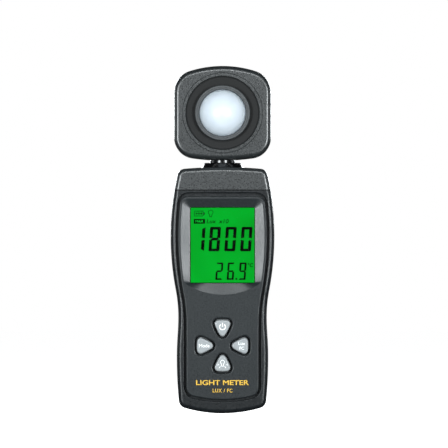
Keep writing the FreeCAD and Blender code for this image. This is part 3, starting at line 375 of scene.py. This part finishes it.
CASING = moulded("casing_plastic", srgb(22, 25, 27), specular=0.3, **CASING_LOOK)
CAP = moulded("cap_plastic", srgb(34, 37, 38), specular=0.8, **TOP_LOOK)
PANEL = moulded("panel_plastic", srgb(32, 36, 38), specular=0.38, **PANEL_LOOK)
HEAD = moulded("head_plastic", srgb(32, 35, 36), specular=0.75, dish=0.9, **TOP_LOOK)
RING = moulded("ring_plastic", srgb(50, 53, 55), rough=0.42, grain=0.8 * MM, bump=0.3, speckle=0.15)
GLOSS = moulded("gloss_black", srgb(8, 8, 9), rough=0.22, grain=0.6 * MM, bump=0.02, speckle=0.03, coat=0.3)
KEY = moulded("key_grey", srgb(148, 152, 154), rough=0.36, grain=0.7 * MM, bump=0.12, speckle=0.05, coat=0.2)
MAT = moulded("mat_silicone", srgb(120, 122, 124), rough=0.6)
CARBON = moulded("carbon_pill", srgb(28, 28, 28), rough=0.6)
OPAL = opal("opal_acrylic")
WINDOW = clear("clear_window", srgb(252, 254, 253), rough=0.0)
DISPLAY = lit_display("lit_display")
GUIDE = clear("light_guide", srgb(228, 236, 230), rough=0.2)
BLACK = moulded("black_frame", srgb(26, 27, 28), rough=0.55)
ELASTOMER = moulded("contact_elastomer", srgb(206, 160, 168), rough=0.5)
BOARD = moulded("board_mask", srgb(20, 92, 52), rough=0.3, grain=1.2 * MM, bump=0.05, speckle=0.06, coat=0.3)
CHIP = moulded("chip_epoxy", srgb(30, 30, 32), rough=0.5, grain=0.2 * MM)
CERAMIC = moulded("ceramic_parts", srgb(176, 158, 124), rough=0.45)
NYLON = moulded("nylon", srgb(222, 218, 206), rough=0.45)
STEEL = metal("screw_steel", srgb(176, 178, 182), rough=0.3)
SPRING = metal("spring_steel", srgb(196, 196, 196), rough=0.22)
NICKEL = metal("nickel_plate", srgb(206, 200, 190), rough=0.2)
JACKET = cell_jacket("cell_jacket")
RUBBER = moulded("ring_rubber", srgb(22, 22, 22), rough=0.6)
CARD = moulded("liner_card", srgb(146, 142, 132), rough=0.8, grain=0.3 * MM, bump=0.3, speckle=0.12)
FOIL = moulded("label_film", srgb(196, 198, 200), rough=0.35, grain=0.25 * MM, bump=0.08, speckle=0.03)
LEAD = moulded("lead_jacket", srgb(60, 61, 63), rough=0.5)
FILTER = clear("correction_filter", srgb(150, 190, 160), rough=0.05)
DIODE = moulded("diode_black", srgb(30, 31, 34), rough=0.25)

FINISHES = {
    CASING: ("front_cover", "rear_cover", "battery_door"),
    CAP: ("shoulder_cap", "head_rear_cover"),
    PANEL: ("face_panel",),
    HEAD: ("head_front_cover",),
    RING: ("dome_ring",),
    GLOSS: ("neck_collar", "swivel_shaft"),
    KEY: KEY_NAMES,
    MAT: ("keypad_mat",),
    CARBON: tuple(name.replace("key", "pill") for name in KEY_NAMES),
    OPAL: ("diffuser_dome",),
    WINDOW: ("display_window",),
    DISPLAY: ("display_glass",),
    GUIDE: ("backlight",),
    BLACK: ("display_frame", "sensor_cup"),
    ELASTOMER: ("contact_strips",),
    BOARD: ("main_board", "sensor_board"),
    CHIP: ("controller_chip", "temperature_sensor"),
    CERAMIC: ("board_parts",),
    NYLON: ("board_socket", "sensor_plug", "thrust_washer"),
    STEEL: ("case_screws", "board_screws", "head_screws"),
    SPRING: ("battery_springs", "spring_washer", "shaft_clip"),
    NICKEL: ("battery_terminals",),
    JACKET: ("cell_left", "cell_middle", "cell_right"),
    RUBBER: ("friction_ring",),
    CARD: ("door_liner",),
    FOIL: ("rating_label",),
    LEAD: ("lead_lower", "lead_upper"),
    FILTER: ("correction_filter",),
    DIODE: ("photodiode",),
}

WHITE_INK = ink("white_ink", srgb(246, 248, 248), 0.4)
GOLD_INK = ink("gold_ink", srgb(222, 178, 64), 0.45)
DARK_INK = ink("dark_ink", srgb(38, 40, 42), 0.5)
SEGMENT = ink("display_segment", srgb(3, 14, 6), specular=0.0)
SEGMENT_FAINT = ink("display_icon", srgb(2, 52, 14), specular=0.0)
GREEN_GAP = ink("display_gap", srgb(0, 170, 38), glow=0.95, specular=0.0)
# Near-black ink for the strip of painted shade in the shoulder seam.
SEAM_SHADE_INK = ink("painted_seam_shade", srgb(8, 8, 9), specular=0.05)


def finish_nodes():
    for material, names in FINISHES.items():
        for name in names:
            for material_slot in nodes[name].material_slots:
                material_slot.material = material


# ---- making printed pieces ----

PRINT_T = 0.03 * MM
MITRE_LIMIT = 0.4


def add_piece(name, mesh, material, body):
    piece = bpy.data.objects.new(name, mesh)
    bpy.context.scene.collection.objects.link(piece)
    mesh.materials.clear()
    mesh.materials.append(material)
    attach(piece, body)


def finished_mesh(name, work):
    """The bmesh as a mesh, with its faces turned outwards."""
    bmesh.ops.recalc_face_normals(work, faces=work.faces)
    mesh = bpy.data.meshes.new(name)
    work.to_mesh(mesh)
    work.free()
    return mesh


def flat_mesh(name, outlines, y):
    """Flat closed plates from lists of (x, z) corners, standing PRINT_T out from the plane y."""
    work = bmesh.new()
    for outline in outlines:
        front = [work.verts.new((x, y - PRINT_T, z)) for x, z in outline]
        back = [work.verts.new((x, y, z)) for x, z in outline]
        work.faces.new(front)
        work.faces.new(reversed(back))
        count = len(outline)
        for i in range(count):
            j = (i + 1) % count
            work.faces.new((front[j], front[i], back[i], back[j]))
    return finished_mesh(name, work)


def add_print(name, outlines, y, material, body=HOUSING):
    add_piece(name, flat_mesh(name, outlines, y), material, body)


def ribbon(points, width, closed=False):
    """The outlines of a stroke: one four-cornered plate for each run, mitred where the runs meet."""
    count = len(points)
    vectors = [Vector(p) for p in points]
    sides = []
    for i, here in enumerate(vectors):
        before = vectors[i - 1] if i or closed else here
        after = vectors[(i + 1) % count] if i + 1 < count or closed else here
        into = (here - before).normalized() if here != before else (after - here).normalized()
        out = (after - here).normalized() if after != here else into
        along = (into + out).normalized()
        across = Vector((-along.y, along.x)) * (width / 2 / max(MITRE_LIMIT, along.dot(out)))
        sides.append((here + across, here - across))
    runs = count if closed else count - 1
    outlines = []
    for i in range(runs):
        a, b = sides[i], sides[(i + 1) % count]
        outlines.append([tuple(a[0]), tuple(a[1]), tuple(b[1]), tuple(b[0])])
    return outlines


def polar(centre, radius, angle_deg):
    angle = math.radians(angle_deg)
    return centre[0] + radius * math.cos(angle), centre[1] + radius * math.sin(angle)


def arc_points(centre, radius, start_deg, end_deg, steps=24):
    turn = end_deg - start_deg
    return [polar(centre, radius, start_deg + turn * i / steps) for i in range(steps + 1)]


BULB_ARC = (-50, 230)


def bulb_outline(centre, radius, neck, stroke):
    """A light bulb drawn in strokes, in millimetres about its centre. neck lists (right, down) corners."""
    corners = [(centre[0] + right * MM, centre[1] - down * MM) for right, down in neck]
    glass = ribbon(arc_points(centre, radius * MM, *BULB_ARC), stroke * MM)
    return glass + ribbon(corners, stroke * MM)


def text_mesh(name, words, height, centre, y, width=None, slant=0.0, spacing=1.0, bold=0.015):
    """Raised lettering, centred on (x, z). height and width are the whole line's.

    Without a width the letters keep their own proportions.
    """
    curve = bpy.data.curves.new(name, "FONT")
    curve.body = words
    curve.size = 1.0
    curve.extrude = 0.0
    curve.shear = slant
    curve.space_character = spacing
    curve.bevel_depth = bold
    curve.bevel_resolution = 0
    curve.align_x = "CENTER"
    holder = bpy.data.objects.new(name, curve)
    bpy.context.scene.collection.objects.link(holder)
    bpy.context.view_layer.update()
    flat = bpy.data.meshes.new_from_object(holder.evaluated_get(bpy.context.evaluated_depsgraph_get()))
    bpy.data.objects.remove(holder)
    bpy.data.curves.remove(curve)
    xs = [v.co.x for v in flat.vertices]
    ys = [v.co.y for v in flat.vertices]
    scale_z = height / (max(ys) - min(ys))
    scale_x = width / (max(xs) - min(xs)) if width else scale_z
    middle_x, middle_y = (max(xs) + min(xs)) / 2, (max(ys) + min(ys)) / 2
    lowest = min(v.co.z for v in flat.vertices)
    depth = max(v.co.z for v in flat.vertices) - lowest
    for vert in flat.vertices:
        x = centre[0] + (vert.co.x - middle_x) * scale_x
        z = centre[1] + (vert.co.y - middle_y) * scale_z
        vert.co = (x, y - PRINT_T * (vert.co.z - lowest) / depth, z)
    flat.name = name
    return flat


def add_text(name, words, height, centre, y, material, body=HOUSING, **style):
    add_piece(name, text_mesh(name, words, height, centre, y, **style), material, body)


# ---- display ----

WINDOW_LOW, WINDOW_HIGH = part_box("display_window")
VIEW_EDGE = 1.2 * MM
VIEW_LEFT = WINDOW_LOW.x + VIEW_EDGE
VIEW_TOP = WINDOW_HIGH.z - VIEW_EDGE
VIEW_WIDTH = (WINDOW_HIGH.x - WINDOW_LOW.x - 2 * VIEW_EDGE) / MM
VIEW_HEIGHT = (WINDOW_HIGH.z - WINDOW_LOW.z - 2 * VIEW_EDGE) / MM
SEGMENT_GAP = 0.02 * MM
SEGMENT_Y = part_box("display_glass")[0].y - SEGMENT_GAP

# Which of the seven bars each digit lights, in the order top, upper right, lower right, bottom, lower left,
# upper left, middle.
BARS = {"0": "1111110", "1": "0110000", "2": "1101101", "6": "1011111", "8": "1111111", "9": "1111011"}
DIGIT_SLANT = 0.07
# A bar's thickness, the slope at its ends and the gap round it, as shares of the digit's stroke.
BAR_THICK, BAR_SLOPE, BAR_GAP = 0.85, 0.55, 0.12
# Shares of that slope: how far the middle bar is set in, and how far an upright bar's outer and inner corners
# are cut back next to it.
MIDDLE_INSET, OUTER_CUT, INNER_CUT = 0.4, 0.2, 0.6

# Everything on the display is in millimetres from its upper left corner. Each digit comes with its left edge.
MAIN_DIGITS = (("1", 1.6), ("8", 9.8), ("0", 18.2), ("0", 26.6))
MAIN_SIZE = {"down": 10.5, "width": 5.8, "height": 13.0, "stroke": 1.7}
SMALL_DIGITS = (("2", 13.4), ("6", 19.5), ("9", 25.8))
SMALL_SIZE = {"down": 29.5, "width": 3.7, "height": 9.2, "stroke": 1.0}

# Plates as left, top, right and bottom.
DECIMAL_POINT = (24.2, 37.7, 25.1, 38.6)
BATTERY_CASE = (2.3, 2.1, 7.0, 4.7)
BATTERY_TIP = (7.2, 2.8, 7.8, 4.0)
BATTERY_BAR = (3.1, 2.9, 3.9, 3.9)
BATTERY_BAR_COUNT, BATTERY_BAR_STEP = 3, 1.25
STATUS_PLATE = (2.0, 6.3, 8.0, 8.8)
STATUS_CENTRE, STATUS_HEIGHT, STATUS_WIDTH = (5.0, 7.55), 1.3, 4.2
LAMP_CENTRE, LAMP_R, LAMP_STROKE = (11.0, 2.8), 1.25, 0.3
LAMP_NECK = ((-0.7, 1.0), (-0.5, 2.3), (0.5, 2.3), (0.7, 1.0))
BATTERY_STROKE, SHADE_EDGE_STROKE = 0.35, 0.7

# Name, words, height, centre, ink and style.
DISPLAY_WORDS = (
    ("degree_mark", "°C", 2.1, (32.2, 30.8), SEGMENT, {"slant": 0.1}),
    ("unit_line", "Lux  x10", 2.2, (14.7, 7.5), SEGMENT_FAINT, {"width": 11.8 * MM, "slant": 0.2}),
)


def on_display(right, down):
    """A point on the display, from its upper left corner, in millimetres."""
    return VIEW_LEFT + right * MM, VIEW_TOP - down * MM


def plate(left, top, right, bottom):
    return [on_display(*corner) for corner in ((left, top), (right, top), (right, bottom), (left, bottom))]


def digit_bars(digit, left, down, width, height, stroke):
    """The lit bars of one slanted digit, as outlines. left and down are its upper left corner."""
    gap, thick, slope = BAR_GAP * stroke, BAR_THICK * stroke, BAR_SLOPE * stroke
    half = height / 2
    far = width - gap
    top = [(gap, 0), (far, 0), (far - slope, thick), (gap + slope, thick)]
    start, end, point = gap + slope * MIDDLE_INSET, far - slope * MIDDLE_INSET, thick / 2
    middle = [(start, half), (start + point, half - point), (end - point, half - point)]
    middle += [(end, half), (end - point, half + point), (start + point, half + point)]
    upper_left = [(0, gap), (stroke, gap + slope)]
    upper_left += [(stroke, half - gap - slope * INNER_CUT), (0, half - gap - slope * OUTER_CUT)]
    upper_right = [(width - x, y) for x, y in upper_left]
    bottom, lower_left, lower_right = (
        [(x, height - y) for x, y in bar] for bar in (top, upper_left, upper_right)
    )
    outlines = []
    bars = (top, upper_right, lower_right, bottom, lower_left, upper_left, middle)
    for lit, bar in zip(BARS[digit], bars):
        if lit == "1":
            outlines.append([on_display(left + x + DIGIT_SLANT * (height - y), down + y) for x, y in bar])
    return outlines


def reading(digits, size):
    """The outlines of a row of digits."""
    outlines = []
    for digit, left in digits:
        outlines += digit_bars(digit, left, **size)
    return outlines


def battery_icon():
    outlines = ribbon(plate(*BATTERY_CASE), BATTERY_STROKE * MM, True)
    outlines.append(plate(*BATTERY_TIP))
    left, top, right, bottom = BATTERY_BAR
    for i in range(BATTERY_BAR_COUNT):
        step = BATTERY_BAR_STEP * i
        outlines.append(plate(left + step, top, right + step, bottom))
    return outlines


def make_display():
    add_print("main_reading", reading(MAIN_DIGITS, MAIN_SIZE), SEGMENT_Y, SEGMENT)
    small = reading(SMALL_DIGITS, SMALL_SIZE) + [plate(*DECIMAL_POINT)]
    add_print("temperature_reading", small, SEGMENT_Y, SEGMENT)

    for name, words, height, centre, material, style in DISPLAY_WORDS:
        add_text(name, words, height * MM, on_display(*centre), SEGMENT_Y, material, **style)

    lamp = bulb_outline(on_display(*LAMP_CENTRE), LAMP_R, LAMP_NECK, LAMP_STROKE)
    add_print("display_icons", battery_icon() + lamp, SEGMENT_Y, SEGMENT_FAINT)
    # A dark band along the display's edges: painted shade where the window's rim shades the lit display.
    edge = ribbon(plate(0, 0, VIEW_WIDTH, VIEW_HEIGHT), SHADE_EDGE_STROKE * MM, True)
    add_print("display_edge_shade", edge, SEGMENT_Y, SEGMENT)

    add_print("hold_plate", [plate(*STATUS_PLATE)], SEGMENT_Y, SEGMENT)
    status_at, status_y = on_display(*STATUS_CENTRE), SEGMENT_Y - PRINT_T
    add_text("hold_label", "MAX", STATUS_HEIGHT * MM, status_at, status_y, GREEN_GAP, width=STATUS_WIDTH * MM)


# ---- legends ----

KEY_BOLD = 0.03
POWER_R, POWER_ARC, POWER_STROKE = 1.55 * MM, (125, 415), 0.5 * MM
POWER_STEM = (0.1 * MM, 2.1 * MM)
KEY_BULB_R, KEY_BULB_STROKE = 1.05, 0.32
KEY_BULB_NECK = ((-0.55, 0.8), (-0.55, 2.1), (0.55, 2.1), (0.55, 0.8))
SYMBOL_RISE = 0.7 * MM  # how far a symbol's centre is above the key's
RAY_DROP = 0.6 * MM
RAY_ENDS = (2.0 * MM, 3.0 * MM)
RAY_ANGLES = (200, 235, 305, 340)

# Key, name and words; then height, width, and place to the right of and above the key's middle, all in
# millimetres.
KEY_WORDS = (
    ("mode_key", "mode_legend", "Mode", 1.9, 5.6, -0.3, 0.0),
    ("unit_key", "unit_legend_upper", "Lux", 1.7, 3.8, 0.9, 1.25),
    ("unit_key", "unit_legend_lower", "FC", 1.7, 2.6, 0.9, -1.25),
)

# Name and words; then height, width and height above the foot in millimetres, boldness and letter spacing.
PANEL_LINES = (
    ("panel_title", "LIGHT METER", 2.7, 28.2, 16.5, 0.03, 1.0),
    ("panel_units", "LUX / FC", 2.0, 10.5, 12.3, 0.02, 1.15),
)

# Words, height, width and distance below the label's upper edge, in millimetres.
LABEL_LINES = (
    ("LIGHT METER", 2.6, 19.0, 5.0),
    ("RANGE 0 - 200000 LUX", 1.5, 20.0, 10.2),
    ("TEMPERATURE -10 TO 50 C", 1.5, 22.0, 13.6),
    ("BATTERY 3 x AAA 1.5 V", 1.5, 20.0, 17.0),
)
LABEL_EDGE, LABEL_RULE = 1.4 * MM, 0.25 * MM


def key_face(name):
    """The middle of a key's top, as (x, z), and the top's y."""
    low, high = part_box(name)
    return ((low.x + high.x) / 2, (low.z + high.z) / 2), low.y


def make_power_symbol():
    (x, z), y = key_face("power_key")
    z += SYMBOL_RISE
    symbol = ribbon(arc_points((x, z), POWER_R, *POWER_ARC), POWER_STROKE)
    symbol += ribbon([(x, z + up) for up in POWER_STEM], POWER_STROKE)
    add_print("power_symbol", symbol, y, WHITE_INK, "power_key")


def make_word_legends():
    for key, name, words, height, width, right, up in KEY_WORDS:
        (x, z), y = key_face(key)
        centre = (x + right * MM, z + up * MM)
        style = {"body": key, "width": width * MM, "bold": KEY_BOLD}
        add_text(name, words, height * MM, centre, y, WHITE_INK, **style)


def make_backlight_symbol():
    (x, z), y = key_face("backlight_key")
    z += SYMBOL_RISE
    symbol = bulb_outline((x, z), KEY_BULB_R, KEY_BULB_NECK, KEY_BULB_STROKE)
    for angle in RAY_ANGLES:
        ray = [polar((x, z - RAY_DROP), radius, angle) for radius in RAY_ENDS]
        symbol += ribbon(ray, KEY_BULB_STROKE * MM)
    add_print("backlight_symbol", symbol, y, WHITE_INK, "backlight_key")


def make_panel_print():
    for name, words, height, width, up, bold, spacing in PANEL_LINES:
        style = {"width": width * MM, "bold": bold, "spacing": spacing}
        add_text(name, words, height * MM, (0, LOW.z + up * MM), FACE_Y, GOLD_INK, **style)


def faced_back(mesh, y):
    """Turns print made on the plane 0 for the front so that it reads from behind, on the plane y."""
    inner = max(v.co.y for v in mesh.vertices)
    for vert in mesh.vertices:
        vert.co.x = -vert.co.x
        vert.co.y = y + (inner - vert.co.y)
    return mesh


def make_back_print():
    low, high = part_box("rating_label")
    for i, (words, height, width, down) in enumerate(LABEL_LINES):
        name = f"label_line_{i + 1}"
        mesh = text_mesh(name, words, height * MM, (0, high.z - down * MM), 0, width * MM)
        add_piece(name, faced_back(mesh, high.y), DARK_INK, HOUSING)
    left, right = low.x + LABEL_EDGE, high.x - LABEL_EDGE
    bottom, top = low.z + LABEL_EDGE, high.z - LABEL_EDGE
    corners = [(left, bottom), (right, bottom), (right, top), (left, top)]
    border = flat_mesh("label_border", ribbon(corners, LABEL_RULE, True), 0)
    add_piece("label_border", faced_back(border, high.y), DARK_INK, HOUSING)


# ---- painted shade strip in the shoulder seam ----

SEAM_Z = LOW.z + 118.8 * MM
SEAM_FRONT_R, SEAM_BACK_R, SEAM_INSET = 2.4 * MM, 4.2 * MM, 0.14 * MM
# The painted shade strip's thickness and height.
SHADE_STRIP_T, SHADE_STRIP_H = 0.18 * MM, 0.44 * MM
CORNER_STEPS = 8


def rounded_outline(half, front_y, back_y, front_r, back_r, inset):
    """A rounded rectangle seen from above, moved inwards by inset, as (x, y) corners."""
    half, front_y, back_y = half - inset, front_y + inset, back_y - inset
    corners = (
        (half, front_y, front_r - inset, -90),
        (half, back_y, back_r - inset, 0),
        (-half, back_y, back_r - inset, 90),
        (-half, front_y, front_r - inset, 180),
    )
    points = []
    for x, y, r, start_deg in corners:
        centre = (x - math.copysign(r, x), y + r if y == front_y else y - r)
        points += arc_points(centre, r, start_deg, start_deg + 90, CORNER_STEPS)
    return points


def make_seam_shade():
    """A black strip in the groove between the shoulder cap and the covers: painted shade for the seam's
    shadow.
    """
    low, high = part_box("shoulder_cap")
    edges = (high.x, low.y, high.y, SEAM_FRONT_R, SEAM_BACK_R)
    outer = rounded_outline(*edges, SEAM_INSET)
    inner = rounded_outline(*edges, SEAM_INSET + SHADE_STRIP_T)
    work = bmesh.new()
    rings = []
    for outline, side in ((outer, -1), (outer, 1), (inner, 1), (inner, -1)):
        rings.append([work.verts.new((x, y, SEAM_Z + side * SHADE_STRIP_H / 2)) for x, y in outline])
    for i, ring in enumerate(rings):
        following = rings[(i + 1) % len(rings)]
        for j in range(len(ring)):
            k = (j + 1) % len(ring)
            work.faces.new((ring[j], ring[k], following[k], following[j]))
    add_piece("seam_shade_strip", finished_mesh("seam_shade_strip", work), SEAM_SHADE_INK, HOUSING)


# ---- studio ----

CAMERA_DISTANCE = 1.5
SENSOR_WIDTH = 36
VIEW_SHARE = 0.7778
SHIFT_DOWN = 0.0346
SHIFT_LEFT = 0.0033
FLOOR_DROP = 70 * MM
FLOOR_HALF = 3.0
LIGHT_COLOUR = (0.93, 0.98, 1.0)
FILL_COLOUR = (0.035, 0.036, 0.038, 1)
PAPER_DARK, PAPER_LIGHT = (0.55, 0.55, 0.55, 1), (0.58, 0.58, 0.58, 1)
WHITE = (1, 1, 1, 1)

# Name, azimuth and elevation in degrees, distance, width and height in metres, and watts.
LIGHTS = (
    ("left_light", -29, 2, 1.0, 0.24, 0.4, 8.0),
    ("right_light", 29, 2, 1.0, 0.24, 0.4, 8.0),
    ("top_light", 0, 24, 1.1, 0.5, 0.16, 4.2),
    ("side_left_light", -100, 8, 1.3, 0.5, 0.6, 1.6),
    ("side_right_light", 100, 8, 1.3, 0.5, 0.6, 1.6),
    ("back_left_light", -152, 14, 1.3, 0.5, 0.5, 13.0),
    ("back_right_light", 152, 14, 1.3, 0.5, 0.5, 13.0),
)


def make_camera():
    """A long lens square to the face, with the meter a little below the middle of the view."""
    view_height = HEIGHT / VIEW_SHARE
    data = bpy.data.cameras.new("camera")
    data.sensor_width = SENSOR_WIDTH
    data.lens = data.sensor_width * CAMERA_DISTANCE / view_height
    data.clip_start = 0.01
    camera = bpy.data.objects.new("camera", data)
    x = MIDDLE_X + SHIFT_LEFT * view_height
    z = MIDDLE_Z + SHIFT_DOWN * view_height
    camera.location = (x, FACE_Y - CAMERA_DISTANCE, z)
    camera.rotation_euler = (math.pi / 2, 0, 0)
    bpy.context.scene.collection.objects.link(camera)
    bpy.context.scene.camera = camera


def soft_light(name, azimuth_deg, elevation_deg, distance, width, height, power):
    data = bpy.data.lights.new(name, "AREA")
    data.shape = "RECTANGLE"
    data.size = width
    data.size_y = height
    data.energy = power
    data.color = LIGHT_COLOUR
    lamp = bpy.data.objects.new(name, data)
    azimuth, elevation = math.radians(azimuth_deg), math.radians(elevation_deg)
    level = math.cos(elevation)
    away = Vector((math.sin(azimuth) * level, -math.cos(azimuth) * level, math.sin(elevation)))
    target = Vector((0, 0, MIDDLE_Z))
    lamp.location = target + away * distance
    lamp.rotation_euler = (target - lamp.location).to_track_quat("-Z", "Y").to_euler()
    bpy.context.scene.collection.objects.link(lamp)


def make_world():
    """White behind the meter, and a soft grey fill for everything that it lights."""
    world = bpy.data.worlds.new("studio")
    bpy.context.scene.world = world
    world.use_nodes = True
    tree = world.node_tree
    tree.nodes.clear()
    path = tree.nodes.new("ShaderNodeLightPath")
    mix = tree.nodes.new("ShaderNodeMixShader")
    output = tree.nodes.new("ShaderNodeOutputWorld")
    tree.links.new(path.outputs["Is Camera Ray"], mix.inputs["Fac"])
    for i, colour in enumerate((FILL_COLOUR, WHITE)):
        background = tree.nodes.new("ShaderNodeBackground")
        background.inputs["Color"].default_value = colour
        tree.links.new(background.outputs["Background"], mix.inputs[i + 1])
    tree.links.new(mix.outputs["Shader"], output.inputs["Surface"])


def make_floor():
    """A pale floor under the held meter, low enough for the battery door to slide off above it."""
    z = LOW.z - FLOOR_DROP
    mesh = bpy.data.meshes.new("floor")
    corners = [(x * FLOOR_HALF, y * FLOOR_HALF, z) for x, y in ((-1, -1), (1, -1), (1, 1), (-1, 1))]
    mesh.from_pydata(corners, [], [(0, 1, 2, 3)])
    floor = bpy.data.objects.new("floor", mesh)
    bpy.context.scene.collection.objects.link(floor)
    material, tree, shader = new_material("floor_paper")
    paper = ramp(tree, object_noise(tree, 3 * MM), PAPER_DARK, PAPER_LIGHT)
    tree.links.new(paper, shader.inputs["Base Color"])
    look = {
        "Roughness": 0.9,
        "Specular IOR Level": 0.1,
        "Emission Color": WHITE,
        "Emission Strength": 0.97,
    }
    set_inputs(shader, look)
    mesh.materials.append(material)
    floor.visible_diffuse = False
    floor.visible_glossy = False


# ---- build ----

bpy.context.scene.view_settings.view_transform = "Standard"
finish_nodes()
make_display()
make_power_symbol()
make_word_legends()
make_backlight_symbol()
make_panel_print()
make_back_print()
make_seam_shade()
make_camera()
for light in LIGHTS:
    soft_light(*light)
make_world()
make_floor()
